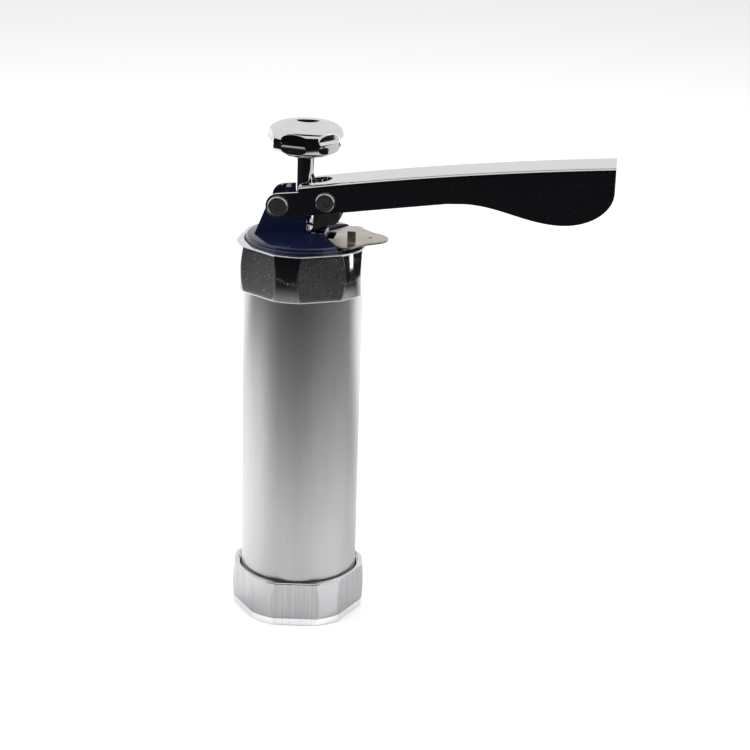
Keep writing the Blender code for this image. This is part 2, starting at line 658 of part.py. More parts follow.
def make_knob_insert(brass):
    low, high, bore = KNOB_BOSS_BOTTOM, ROD_STUD_TOP, ROD_STUD_R + CLEAR
    turned("knob_insert", [(INSERT_R, high), (INSERT_R, low), (bore, low), (bore, high)], brass, steps=24)


def make_piston(plastic):
    low, high = PISTON_Z
    hub_top, bore, tail = high + PISTON_HUB_RISE, ROD_R + CLEAR, ROD_TAIL_R + CLEAR
    seat = ROD_BOTTOM - CLEAR
    pocket_top = seat - PISTON_WEB
    groove_r, inner_r = PISTON_R - GROOVE_DEPTH, PISTON_R - PISTON_WALL
    groove_low, groove_high = SEAL_Z - GROOVE_HALF, SEAL_Z + GROOVE_HALF
    profile = [(PISTON_R - PISTON_EDGE, high), (PISTON_R, high - PISTON_EDGE), (PISTON_R, groove_high),
               (groove_r, groove_high), (groove_r, groove_low), (PISTON_R, groove_low),
               (PISTON_R, low + PISTON_FOOT), (PISTON_R - PISTON_FOOT, low), (PISTON_POCKET_R, low),
               (PISTON_POCKET_R, pocket_top), (tail, pocket_top), (tail, seat), (bore, seat), (bore, hub_top),
               (PISTON_HUB_R, hub_top), (PISTON_HUB_R, low + PISTON_FLOOR), (inner_r, low + PISTON_FLOOR),
               (inner_r, high)]
    turned("piston", profile, plastic, steps=36)


def make_seal(rubber):
    centre = PISTON_R - SEAL_R + SEAL_PROUD
    ring = arc((centre, SEAL_Z), SEAL_R, 90, -225, 7)
    turned("piston_seal", ring, rubber, steps=36)


def make_piston_fasteners(steel):
    """Washer and hexagon nut that hold the piston on the rod's threaded tail."""
    top, bore = ROD_BOTTOM - 2 * CLEAR - PISTON_WEB, ROD_TAIL_R + CLEAR
    bottom = top - WASHER_THICK
    profile = [(WASHER_R, top), (WASHER_R, bottom), (bore, bottom), (bore, top)]
    turned("piston_washer", profile, steel, steps=24)
    nut_top, nut_low = bottom - CLEAR, ROD_TAIL_BOTTOM - CLEAR
    nut = slab("piston_nut", arc((0, 0), NUT_ACROSS / math.sqrt(3), 0, 300, 5), nut_low, nut_top, steel)
    boolean(nut, peg("nut_bore", bore, nut_low - PAST, nut_top + PAST))


def make_press():
    aluminium = finish("satin_aluminium", (0.66, 0.66, 0.67), 0.32, 1.0)
    chrome = finish("bright_chrome", (0.8, 0.8, 0.82), 0.08, 1.0)
    steel = finish("brushed_steel", (0.56, 0.57, 0.58), 0.3, 1.0)
    dark_steel = finish("dark_steel", (0.09, 0.085, 0.085), 0.35, 1.0)
    nickel = finish("warm_nickel", (0.66, 0.62, 0.55), 0.35, 1.0)
    spring_steel = finish("spring_steel", (0.45, 0.45, 0.46), 0.3, 1.0)
    blue = finish("navy_plastic", (0.012, 0.018, 0.06), 0.15, 0.0)
    brass = finish("brass", (0.72, 0.52, 0.22), 0.3, 1.0)
    rubber = finish("grey_rubber", (0.12, 0.12, 0.12), 0.7, 0.0)
    plastic = finish("white_plastic", (0.75, 0.75, 0.73), 0.4, 0.0)
    make_barrel(aluminium)
    make_top_ring(chrome)
    make_bottom_ring(chrome)
    make_die(aluminium)
    make_head(blue)
    make_gasket(rubber)
    make_bush(brass)
    make_lever(chrome)
    make_rivet("pivot_rivet", PIVOT_HEAD_R, PIVOT, steel)
    make_rivet("pawl_rivet", PAWL_HEAD_R, PAWL_PIVOT, steel)
    make_spacer("pawl_spacer_front", 1, steel)
    make_spacer("pawl_spacer_rear", -1, steel)
    make_pawl(dark_steel)
    make_pawl_spring(spring_steel)
    make_catch(nickel)
    make_catch_pin(steel)
    make_catch_spring(spring_steel)
    make_rod(steel)
    make_knob(chrome)
    make_knob_insert(brass)
    make_piston(plastic)
    make_seal(rubber)
    make_piston_fasteners(steel)


make_press()
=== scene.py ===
import json
import math

import bmesh
import bpy
from mathutils import Matrix, Vector


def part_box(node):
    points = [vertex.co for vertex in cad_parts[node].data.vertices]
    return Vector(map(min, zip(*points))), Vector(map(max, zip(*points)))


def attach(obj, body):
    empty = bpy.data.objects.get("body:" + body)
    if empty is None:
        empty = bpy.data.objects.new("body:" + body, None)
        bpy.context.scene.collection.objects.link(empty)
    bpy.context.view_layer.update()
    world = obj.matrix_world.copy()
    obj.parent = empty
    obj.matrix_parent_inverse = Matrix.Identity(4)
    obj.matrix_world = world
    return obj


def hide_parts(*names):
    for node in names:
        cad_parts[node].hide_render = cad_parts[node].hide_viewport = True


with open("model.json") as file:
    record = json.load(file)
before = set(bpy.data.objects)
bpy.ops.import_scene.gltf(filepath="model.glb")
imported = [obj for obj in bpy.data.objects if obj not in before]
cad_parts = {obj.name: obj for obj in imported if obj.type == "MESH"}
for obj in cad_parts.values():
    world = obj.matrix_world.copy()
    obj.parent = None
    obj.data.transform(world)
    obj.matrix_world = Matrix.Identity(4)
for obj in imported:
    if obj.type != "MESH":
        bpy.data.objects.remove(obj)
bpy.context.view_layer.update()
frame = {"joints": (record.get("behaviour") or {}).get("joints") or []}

# ---- Barrel ----
# Drawn aluminium tube, turned to a fine satin outside, with a coarse thread cut at each end for the
# ring nuts.  It stands on the die disc and carries everything else.
MM = 0.001
pivots = {joint["name"]: Vector(joint["pos_m"]) / MM for joint in frame["joints"] if "pos_m" in joint}
PRESS_AXIS = Vector((pivots["rod_turn"].x, 0, 0))


def reach(node):
    """Lowest and highest corner of a CAD node, in millimetres from the press axis."""
    low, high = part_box(node)
    return low / MM - PRESS_AXIS, high / MM - PRESS_AXIS


class Wire:
    """One socket of a finish, so that sums written with it become Math nodes."""

    def __init__(self, finish, socket):
        self.finish = finish
        self.socket = socket

    def __add__(self, other):
        return self.finish.maths("ADD", self, other)

    __radd__ = __add__

    def __sub__(self, other):
        return self.finish.maths("SUBTRACT", self, other)

    def __rsub__(self, other):
        return self.finish.maths("SUBTRACT", other, self)

    def __mul__(self, other):
        return self.finish.maths("MULTIPLY", self, other)

    __rmul__ = __mul__


class Finish:
    """A Principled material whose nodes are added one at a time."""

    def __init__(self, name, colour, roughness, metallic=1.0, **fixed):
        self.material = bpy.data.materials.new(name)
        self.material.use_nodes = True
        self.tree = self.material.node_tree
        self.shader = self.tree.nodes["Principled BSDF"]
        self.set("Base Color", (*colour, 1))
        self.set("Roughness", roughness)
        self.set("Metallic", metallic)
        for socket, value in fixed.items():
            self.set(socket.replace("_", " "), value)
        self.place = self.node("ShaderNodeTexCoord", output="Object")

    def set(self, name, value):
        socket = self.shader.inputs[name]
        if isinstance(value, Wire):
            self.tree.links.new(value.socket, socket)
        else:
            socket.default_value = value

    def node(self, kind, settings=None, inputs=None, output=0):
        """Any node: its settings first, then its sockets' values or links."""
        made = self.tree.nodes.new(kind)
        for key, value in (settings or {}).items():
            if key == "stops":
                ramp = made.color_ramp.elements
                while len(ramp) < len(value):
                    ramp.new(1.0)
                for stop, (position, colour) in zip(ramp, value):
                    stop.position = position
                    stop.color = (*colour, 1)
            else:
                setattr(made, key, value)
        for key, value in (inputs or {}).items():
            if isinstance(value, Wire):
                self.tree.links.new(value.socket, made.inputs[key])
            else:
                made.inputs[key].default_value = value
        return Wire(self, made.outputs[output])

    def maths(self, operation, first, second=0.0):
        return self.node("ShaderNodeMath", {"operation": operation}, {0: first, 1: second})

    def stretched(self, x, y, z, source=None):
        """The place on the piece, with each direction stretched by its own factor."""
        inputs = {0: source or self.place, 1: (x, y, z)}
        return self.node("ShaderNodeVectorMath", {"operation": "MULTIPLY"}, inputs)

    def noise(self, vector, scale, detail=3.0, roughness=0.55):
        return self.node("ShaderNodeTexNoise", {"noise_dimensions": "3D"},
                         {"Vector": vector, "Scale": scale, "Detail": detail, "Roughness": roughness}, "Fac")

    def band(self, value, low, high, to_low=0.0, to_high=1.0):
        inputs = {"Value": value, "From Min": low, "From Max": high, "To Min": to_low, "To Max": to_high}
        return self.node("ShaderNodeMapRange", {"clamp": True}, inputs)

    def blend(self, factor, first, second):
        """Mix two colours."""
        named = {0: factor, 6: first if isinstance(first, Wire) else (*first, 1),
                 7: second if isinstance(second, Wire) else (*second, 1)}
        return self.node("ShaderNodeMix", {"data_type": "RGBA"}, named, 2)

    def bump(self, height, distance, strength=1.0):
        inputs = {"Strength": strength, "Distance": distance, "Height": height}
        self.set("Normal", self.node("ShaderNodeBump", None, inputs, "Normal"))

    def around(self):
        """Place unrolled round the press axis: angle, radius and height."""
        x, y, z = self.across()
        radius = self.maths("SQRT", x * x + y * y)
        return self.maths("ARCTAN2", y, x), radius, z

    def across(self):
        """Distances along X, Y and Z from the piece's own origin."""
        return (self.node("ShaderNodeSeparateXYZ", None, {0: self.place}, i) for i in range(3))

    def joined(self, x, y, z):
        return self.node("ShaderNodeCombineXYZ", None, {0: x, 1: y, 2: z})


def settle(name, bm, material, spot=(0, 0, 0), crease=38):
    """Turn a bmesh in millimetres into a smooth piece with crisp edges, placed from the press axis."""
    bm.transform(Matrix.Scale(MM, 4))
    bmesh.ops.recalc_face_normals(bm, faces=bm.faces)
    mesh = bpy.data.meshes.new(name)
    bm.to_mesh(mesh)
    bm.free()
    mesh.shade_smooth()
    mesh.set_sharp_from_angle(angle=math.radians(crease))
    mesh.materials.append(material)
    piece = bpy.data.objects.new(name, mesh)
    bpy.context.scene.collection.objects.link(piece)
    piece.location = (PRESS_AXIS + Vector(spot)) * MM
    even = piece.modifiers.new("even_shading", "WEIGHTED_NORMAL")
    even.keep_sharp = True
    return piece


def softened(points, radius, count=3, closed=True):
    """Round each true corner of an outline with a short curve."""
    out = []
    for i, corner in enumerate(points):
        here = Vector(corner)
        if not closed and i in (0, len(points) - 1):
            out.append(here)
            continue
        back, on = Vector(points[i - 1]) - here, Vector(points[(i + 1) % len(points)]) - here
        if math.pi - back.angle(on) < 0.3:
            out.append(here)
            continue
        start = here + back.normalized() * min(radius, back.length * 0.45)
        end = here + on.normalized() * min(radius, on.length * 0.45)
        for k in range(count + 1):
            t = k / count
            out.append(start * (1 - t) ** 2 + here * 2 * t * (1 - t) + end * t * t)
    return [tuple(point) for point in out]


def skin(name, rows, material, closed=True, spot=(0, 0, 0), lying=False):
    """Join rows of points into one surface; lying turns it from the Z axis onto the Y axis."""
    bm = bmesh.new()
    grid = [[bm.verts.new(point) for point in row] for row in rows]
    pairs = list(zip(grid, grid[1:]))
    if closed:
        pairs.append((grid[-1], grid[0]))
    for upper, lower in pairs:
        for i in range(len(upper)):
            j = (i + 1) % len(upper)
            bm.faces.new((upper[i], upper[j], lower[j], lower[i]))
    bmesh.ops.remove_doubles(bm, verts=bm.verts, dist=0.0005)
    if lying:
        bm.transform(Matrix.Rotation(math.pi / 2, 4, "X"))
    return settle(name, bm, material, spot)


def turned(name, profile, material, closed=True, soft=0.2, steps=96, spot=(0, 0, 0), lying=False):
    """A lathe-turned piece from a profile of (radius, height)."""
    rows = []
    for radius, height in softened(profile, soft, closed=closed):
        angles = [2 * math.pi * i / steps for i in range(steps)]
        rows.append([(radius * math.cos(a), radius * math.sin(a), height) for a in angles])
    return skin(name, rows, material, closed, spot, lying)


def satin_aluminium(name="satin_aluminium", cut=2600.0):
    """Turned aluminium: fine rings round the tube, faint long clouding and a few handling marks."""
    metal = Finish(name, (0.74, 0.74, 0.75), 0.3, Anisotropic=0.35)
    angle, radius, z = metal.around()
    lines = metal.noise(metal.joined(angle * 0.5, radius * 40, z * cut), 1.0, 2.0)
    cloud = metal.noise(metal.joined(angle * 2.2, radius * 20, z * 9), 1.0, 3.0)
    scuff = metal.band(metal.noise(metal.stretched(160, 160, 900), 1.0, 4.0), 0.62, 0.78)
    shade = metal.band(cloud + lines * 0.3, 0.4, 0.95)
    metal.set("Base Color", metal.blend(shade, (0.66, 0.665, 0.68), (0.8, 0.8, 0.8)))
    metal.set("Roughness", 0.24 + lines * 0.12 + cloud * 0.06 + scuff * 0.06)
    metal.bump(lines, 0.00001, 0.5)
    return metal.material


THREAD_DEPTH = 0.35
THREAD_LENGTH = 8.0
THREAD_PITCH = 2.0
BARREL_WALL = 2.0
tube_low, tube_high = reach("barrel")
TUBE_R = tube_high.x - THREAD_DEPTH


def tooth(height, angle, start, end):
    """Height of the thread at a place, fading in at both of its ends."""
    if not start < height < end:
        return 0.0
    fade = min(1.0, (height - start) / 0.7, (end - height) / 0.7)
    along = (height / THREAD_PITCH - angle / (2 * math.pi)) % 1.0
    return THREAD_DEPTH * fade * min(1.0, max(0.0, 1.7 - abs(along - 0.5) * 5.0))


def barrel_tube():
    steps, bore, chamfer = 144, TUBE_R - BARREL_WALL, 0.4
    low, high = tube_low.z, tube_high.z
    ends = [low + chamfer + 0.25 * i for i in range(33)]
    heights = ends + [low + high - z for z in ends[::-1]]
    rows = [(TUBE_R - chamfer, low)] + [(TUBE_R, z) for z in heights] + [(TUBE_R - chamfer, high)]
    rows += [(bore + 0.2, high), (bore, high - 0.2), (bore, low + 0.2), (bore + 0.2, low)]
    grid = []
    for radius, z in rows:
        row = []
        for i in range(steps):
            a = 2 * math.pi * i / steps
            r = radius
            if radius == TUBE_R:
                r += tooth(z, a, low, low + THREAD_LENGTH) + tooth(z, a, high - THREAD_LENGTH, high)
            row.append((r * math.cos(a), r * math.sin(a), z))
        grid.append(row)
    return skin("barrel_tube", grid, satin_aluminium())


barrel = barrel_tube()
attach(barrel, "barrel")
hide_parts("barrel")

# ---- Die disc ----
# Pressed aluminium disc with a ring of round holes and a slot that shape the dough.  The bottom ring
# nut clamps its rim against the end of the barrel.
DIE_SHEET = 1.4
DIE_DISH_R = 21.5
DIE_FACE_R = 22.7
DIE_HOLES = 10
DIE_HOLE_R = 2.0
DIE_HOLE_CIRCLE_R = 14.5
DIE_SLOT = (13.0, 3.4)


def plate(name, outline, low, high, upright=False, material=None, spot=(0, 0, 0)):
    """A flat piece on an outline: from low to high in Z, or standing in XZ from low to high in Y."""
    bm = bmesh.new()
    face = bm.faces.new([bm.verts.new((x, y, low)) for x, y in outline])
    grown = bmesh.ops.extrude_face_region(bm, geom=[face])["geom"]
    top = [part for part in grown if isinstance(part, bmesh.types.BMVert)]
    bmesh.ops.translate(bm, verts=top, vec=(0, 0, high - low))
    if upright:
        bm.transform(Matrix(((1, 0, 0, 0), (0, 0, 1, 0), (0, 1, 0, 0), (0, 0, 0, 1))))
    return settle(name, bm, material, spot)


def arc(centre, radius, start, end, count):
    """Points on a circle between two angles in degrees."""
    angles = [math.radians(start + (end - start) * i / count) for i in range(count + 1)]
    return [(centre[0] + radius * math.cos(a), centre[1] + radius * math.sin(a)) for a in angles]


def disc(centre, radius, count=48):
    return arc(centre, radius, 0, 360 - 360 / count, count - 1)


def carved(piece, *steps, edge=0.2, crease=38, rounds=2):
    """Cut tools out of a piece, or join them to it, and ease the edges that are left."""
    for operation, tool in steps:
        cut = piece.modifiers.new(operation, "BOOLEAN")
        cut.operation = operation
        cut.solver = "EXACT"
        cut.object = tool
    order = piece.modifiers
    order.move(order.find("even_shading"), len(order) - 1)
    bpy.context.view_layer.update()
    graph = bpy.context.evaluated_depsgraph_get()
    mesh = bpy.data.meshes.new_from_object(piece.evaluated_get(graph))
    piece.modifiers.clear()
    piece.data = mesh
    for _, tool in steps:
        bpy.data.objects.remove(tool)
    mesh.shade_smooth()
    mesh.set_sharp_from_angle(angle=math.radians(crease))
    if edge:
        ease = piece.modifiers.new("eased_edges", "BEVEL")
        ease.width = edge * MM
        ease.segments = rounds
        ease.limit_method = "ANGLE"
        ease.angle_limit = math.radians(crease)
        ease.harden_normals = True
        ease.miter_outer = "MITER_ARC"
    even = piece.modifiers.new("even_shading", "WEIGHTED_NORMAL")
    even.keep_sharp = True
    return piece


def die_plate():
    low, high = (corner.z for corner in reach("die_disc"))
    rim_r = reach("die_disc")[1].x
    face_top = high - DIE_SHEET + 0.1
    profile = [(0, face_top), (DIE_DISH_R, face_top), (DIE_DISH_R, high), (rim_r, high),
               (rim_r, high - DIE_SHEET),
               (DIE_FACE_R, high - DIE_SHEET), (DIE_FACE_R, low), (0, low)]
    piece = turned("die_plate", profile, satin_aluminium("die_aluminium", 900.0), closed=False)
    half, end_r = (DIE_SLOT[0] - DIE_SLOT[1]) / 2, DIE_SLOT[1] / 2
    slot = arc((half, 0), end_r, -90, 90, 12) + arc((-half, 0), end_r, 90, 270, 12)
    cuts = [("DIFFERENCE", plate("slot_punch", slot, low - 2, high + 2))]
    for i in range(DIE_HOLES):
        a = 2 * math.pi * (i + 0.5) / DIE_HOLES
        centre = (DIE_HOLE_CIRCLE_R * math.cos(a), DIE_HOLE_CIRCLE_R * math.sin(a))
        cuts.append(("DIFFERENCE", plate("hole_punch", disc(centre, DIE_HOLE_R, 24), low - 2, high + 2)))
    return carved(piece, *cuts, edge=0.12)


die = die_plate()
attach(die, "die")
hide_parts("die_disc")

# ---- Ring nuts ----
# Cast and chromed nuts that screw onto the barrel, the lower one over the die disc and the upper one
# over the head's flange.  Six flats are ground on a crowned side, so flats and crown meet in soft ridges.
RING_CROWN_R = 30.9
RING_EDGE_R = 30.4
RING_FLAT_R = 28.95
RING_BORE_R = 27.65
RING_RELIEF_R = 28.3
TOP_RING_TURN = -65.3
BOTTOM_RING_TURN = -83.6
SECTOR = math.radians(60)
FLAT_STEPS = (-1, -0.985, -0.95, -0.85, -0.6, -0.3, 0, 0.3, 0.6, 0.85, 0.95, 0.985)
CROWN_STEPS = (0, 0.03, 0.08, 0.2, 0.4, 0.6, 0.8, 0.92, 0.97)


def faceted_row(radius, flat, height, turn, edge_r=None, ridge=0.05):
    """A row of points round a crowned body with six flats; edge_r keeps inner rows in step."""
    half = math.acos(min(1.0, flat / (edge_r or radius)))
    row = []
    for k in range(6):
        for step in [half * u for u in FLAT_STEPS] + [half + (SECTOR - 2 * half) * v for v in CROWN_STEPS]:
            away = min(step, SECTOR - step) if step > 0 else step
            side = flat / math.cos(away)
            r = radius if edge_r else (radius + side - math.hypot(radius - side, ridge)) / 2
            a = math.radians(turn) + SECTOR * k + step
            row.append((r * math.cos(a), r * math.sin(a), height))
    return row


def ring_chrome(name, turn):
    """Chrome over a casting: mirror on the crown, duller flats with upright grinding streaks and specks."""
    metal = Finish(name, (0.8, 0.8, 0.82), 0.1)
    angle, radius, z = metal.around()
    shifted = angle + (math.radians(-turn) + 8 * SECTOR + SECTOR / 2)
    off_flat = metal.maths("MODULO", shifted, SECTOR) - SECTOR / 2
    from_axis = radius * metal.maths("COSINE", off_flat)
    flat = metal.band(from_axis, (RING_FLAT_R - 0.25) * MM, (RING_FLAT_R - 0.1) * MM)
    streaks = metal.noise(metal.joined(angle * 55, 0.0, z * 22), 1.0, 3.0)
    pits = metal.band(metal.noise(metal.place, 950, 2.0), 0.66, 0.74)
    haze = metal.noise(metal.place, 90, 3.0)
    ground = flat * metal.band(streaks, 0.35, 0.7)
    metal.set("Base Color", metal.blend(ground, (0.84, 0.84, 0.86), (0.62, 0.62, 0.64)))
    metal.set("Roughness", 0.06 + haze * 0.05 + flat * (0.06 + streaks * 0.14) + pits * 0.1)
    metal.bump(streaks * flat * 0.6 + haze * 0.25 - pits * 0.3, 0.00006, 0.35)
    return metal.material


def ring_nut(name, node, turn, inner):
    """Outer side top to bottom, then the inner profile; both share the same angles."""
    low, high = (corner.z for corner in reach(node))
    side = [(RING_EDGE_R - 0.8, high), (RING_EDGE_R - 0.5, high - 0.03), (RING_EDGE_R - 0.2, high - 0.16),
            (RING_EDGE_R - 0.04, high - 0.4)]
    for i in range(17):
        t = i / 8 - 1
        z = high - 0.7 - (high - low - 1.4) * i / 16
        side.append((RING_CROWN_R - (RING_CROWN_R - RING_EDGE_R) * t * t, z))
    side += [(RING_EDGE_R - 0.04, low + 0.4), (RING_EDGE_R - 0.2, low + 0.16),
             (RING_EDGE_R - 0.5, low + 0.03), (RING_EDGE_R - 0.8, low)]
    middle = (low + high) / 2
    rows = []
    for r, z in side:
        end = max(0.0, abs(z - middle) - (high - low) / 2 + 0.6) / 0.6
        rows.append(faceted_row(r, RING_FLAT_R - 0.5 * end * end, z, turn))
    eased = softened(inner, 0.2, closed=False)
    rows += [faceted_row(r, RING_FLAT_R, z, turn, edge_r=RING_EDGE_R) for r, z in eased]
    return skin(name, rows, ring_chrome(name + "_chrome", turn))


MOUTH_R = 25.0
SEAT_R = 23.2
SEAT_Z = 8.5
bottom_high = reach("bottom_ring_nut")[1].z
bottom_inner = [(MOUTH_R + 0.5, 0), (MOUTH_R, 0.5), (MOUTH_R, SEAT_Z - 2.5), (SEAT_R, SEAT_Z - 1.5),
                (SEAT_R, SEAT_Z),
                (RING_BORE_R, SEAT_Z), (RING_BORE_R, bottom_high - 1.7), (RING_RELIEF_R, bottom_high - 1.7),
                (RING_RELIEF_R, bottom_high)]
bottom_nut = ring_nut("bottom_nut", "bottom_ring_nut", BOTTOM_RING_TURN, bottom_inner)
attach(bottom_nut, "bottom_ring")
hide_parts("bottom_ring_nut")

TOP_LIP_R = 26.6
TOP_LIP = 1.9
top_low, top_high = (corner.z for corner in reach("top_ring_nut"))
top_inner = [(RING_RELIEF_R, top_low), (RING_RELIEF_R, top_low + 1.5), (RING_BORE_R, top_low + 1.5),
             (RING_BORE_R, top_high - TOP_LIP), (TOP_LIP_R, top_high - TOP_LIP), (TOP_LIP_R, top_high - 0.3),
             (TOP_LIP_R + 0.3, top_high)]
top_nut = ring_nut("top_nut", "top_ring_nut", TOP_RING_TURN, top_inner)
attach(top_nut, "top_ring")
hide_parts("top_ring_nut")

# ---- Head ----
# Glossy navy moulding: a spigot in the barrel, a flange that the top nut clamps, a low dome, and two
# tower walls for the lever.  A wedge is left open under the lever for the catch plate.
SPIGOT_R = 24.7
FLANGE_R = 27.3
FLANGE_Z = (174.9, 177.3)
NECK_R = 26.3
NECK_TOP = 180.1
DOME_RIM_R = 24.9
DOME_TOP = 184.85
DOME_FALL = 0.00478
WELL_FLOOR = 171.5
WELL_R = 24.0
WELL_APEX_X = 3.5
WELL_HALF_ANGLE = 52.7
MOUTH_FLOOR = 180.0
NOSE_SLOT = 3.2
PAWL_PIT = ((3.2, 12.5), (-7.4, 7.4), (182.2, 190.0))
TOWER_Y = 8.1
TOWER_GAP = 5.9
TOWER_SIDE = ((2.2, 181.5), (2.2, 201.4), (-12.6, 198.9), (-15.4, 197.2), (-21.6, 181.5))
TOWER_CORE = ((5.0, 184.2), (5.0, 205.0), (-9.92, 205.0), (-18.13, 184.2))
ROD_WAY_R = 4.7
BUSH_R = 5.7
BUSH_FLANGE_R = 7.4
PIN_HOLE_R = 2.5
CATCH_HOLE_R = 1.55
HEAD_BOTTOM = reach("head_cap")[0].z
LEVER_PIVOT = pivots["lever_pivot"] - PRESS_AXIS
PAWL_PIVOT = pivots["pawl_pivot"] - PRESS_AXIS
CATCH_PIVOT = pivots["catch_pivot"] - PRESS_AXIS


def navy_plastic():
    """Moulded plastic under its own gloss: a faint ripple from the tool, dust and fine rub marks."""
    plastic = Finish("navy_plastic", (0.006, 0.009, 0.035), 0.16, 0.0, Coat_Weight=0.5, Coat_Roughness=0.06)
    ripple = plastic.noise(plastic.place, 60, 2.0)
    dust = plastic.band(plastic.noise(plastic.place, 2400, 2.0), 0.69, 0.75)
    rubs = plastic.band(plastic.noise(plastic.stretched(900, 120, 300), 1.0, 3.0), 0.55, 0.8)
    paler = dust * 0.35 + ripple * 0.15
    plastic.set("Base Color", plastic.blend(paler, (0.004, 0.006, 0.024), (0.02, 0.027, 0.065)))
    plastic.set("Roughness", 0.12 + rubs * 0.12 + dust * 0.25)
    plastic.bump(ripple + dust * 0.05, 0.00015, 0.3)
    return plastic.material


def block(x, y, z):
    """A plain block for cutting or joining."""
    return plate("block", ((x[0], y[0]), (x[1], y[0]), (x[1], y[1]), (x[0], y[1])), z[0], z[1])


def crossbar(centre, radius, half):
    """A cutter rod along Y."""
    return plate("cross_drill", disc((centre.x, centre.z), radius, 40), -half, half, upright=True)


def wedge(radius):
    """Plan of the opening under the lever, out to a radius."""
    angle = math.radians(WELL_HALF_ANGLE)
    along = math.sqrt(radius ** 2 - (WELL_APEX_X * math.sin(angle)) ** 2) - WELL_APEX_X * math.cos(angle)
    spread = math.degrees(math.atan2(along * math.sin(angle), WELL_APEX_X + along * math.cos(angle)))
    start_x = WELL_APEX_X + NOSE_SLOT / math.tan(angle)
    rim = arc((0, 0), radius, -spread, spread, 48)
    return [(0, -NOSE_SLOT), (start_x, -NOSE_SLOT), *rim, (start_x, NOSE_SLOT), (0, NOSE_SLOT)]


def head_moulding():
    dome = [(DOME_RIM_R * i / 16, DOME_TOP - DOME_FALL * (DOME_RIM_R * i / 16) ** 2) for i in range(17)]
    profile = dome + [(25.5, 181.5), (25.7, 181.0), (25.7, 180.4), (NECK_R, NECK_TOP), (NECK_R, FLANGE_Z[1]),
                      (FLANGE_R, FLANGE_Z[1]), (FLANGE_R, FLANGE_Z[0]), (SPIGOT_R, FLANGE_Z[0]),
                      (SPIGOT_R, HEAD_BOTTOM), (0, HEAD_BOTTOM)]
    head = turned("head_moulding", profile, navy_plastic(), closed=False, soft=0.15, steps=128)
    pocket_top = WELL_FLOOR + 3.4
    return carved(
        head,
        ("UNION", plate("tower_walls", TOWER_SIDE, -TOWER_Y, TOWER_Y, upright=True)),
        ("DIFFERENCE", plate("tower_core", TOWER_CORE, -TOWER_GAP, TOWER_GAP, upright=True)),
        ("DIFFERENCE", plate("well", wedge(WELL_R), WELL_FLOOR, 190.0)),
        ("DIFFERENCE", plate("well_mouth", wedge(WELL_R + 8), MOUTH_FLOOR, 190.0)),
        ("DIFFERENCE", block(*PAWL_PIT)),
        ("DIFFERENCE", plate("rod_way", disc((0, 0), ROD_WAY_R), WELL_FLOOR - 1, 190.0)),
        ("DIFFERENCE", plate("bush_seat", disc((0, 0), BUSH_R + 0.3), HEAD_BOTTOM - 1, pocket_top)),
        ("DIFFERENCE", plate("bush_flange_seat", disc((0, 0), BUSH_FLANGE_R + 0.3), WELL_FLOOR, pocket_top)),
        ("DIFFERENCE", crossbar(LEVER_PIVOT, PIN_HOLE_R, 12.0)),
        ("DIFFERENCE", crossbar(CATCH_PIVOT, CATCH_HOLE_R, 18.3)),
        edge=0.25, crease=32)


head = head_moulding()
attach(head, "head")
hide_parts("head_cap")

# ---- Gasket and rod bush ----
# A rubber ring seals the flange on the barrel's end, and a flanged brass bush pressed into the head
# guides the rod.
GASKET_BORE_R = 25.3
BUSH_BORE_R = 4.5


def grey_rubber(name):
    """Moulded rubber: matt, with a fine bloom."""
    rubber = Finish(name, (0.11, 0.11, 0.115), 0.7, 0.0)
    bloom = rubber.noise(rubber.place, 700, 4.0)
    rubber.set("Base Color", rubber.blend(bloom, (0.075, 0.075, 0.08), (0.15, 0.15, 0.15)))
    rubber.set("Roughness", 0.6 + bloom * 0.25)
    rubber.bump(bloom, 0.00005, 0.4)
    return rubber.material


def machined_brass(name):
    """Brass straight from the lathe: tight tool rings and slight tarnish."""
    brass = Finish(name, (0.72, 0.52, 0.22), 0.25)
    angle, radius, z = brass.around()
    rings = brass.noise(brass.joined(angle * 0.4, radius * 3000, z * 3000), 1.0, 1.0)
    tarnish = brass.noise(brass.place, 260, 3.0)
    brass.set("Base Color", brass.blend(tarnish, (0.78, 0.58, 0.26), (0.55, 0.38, 0.16)))
    brass.set("Roughness", 0.16 + rings * 0.14 + tarnish * 0.1)
    brass.bump(rings, 0.00002, 0.4)
    return brass.material


gasket_low, gasket_high = reach("cap_gasket")
gasket_profile = [(gasket_high.x, gasket_high.z), (gasket_high.x, gasket_low.z),
                  (GASKET_BORE_R, gasket_low.z), (GASKET_BORE_R, gasket_high.z)]
gasket = turned("sealing_ring", gasket_profile, grey_rubber("gasket_rubber"))
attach(gasket, "head")
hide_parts("cap_gasket")

bush_low, bush_high = reach("rod_bush")
bush_profile = [(BUSH_FLANGE_R, bush_high.z), (BUSH_FLANGE_R, bush_high.z - 1.2), (BUSH_R, bush_high.z - 1.2),
                (BUSH_R, bush_low.z), (BUSH_BORE_R, bush_low.z), (BUSH_BORE_R, bush_high.z)]
bush = turned("guide_bush", bush_profile, machined_brass("bush_brass"), steps=64)
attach(bush, "head")
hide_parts("rod_bush")

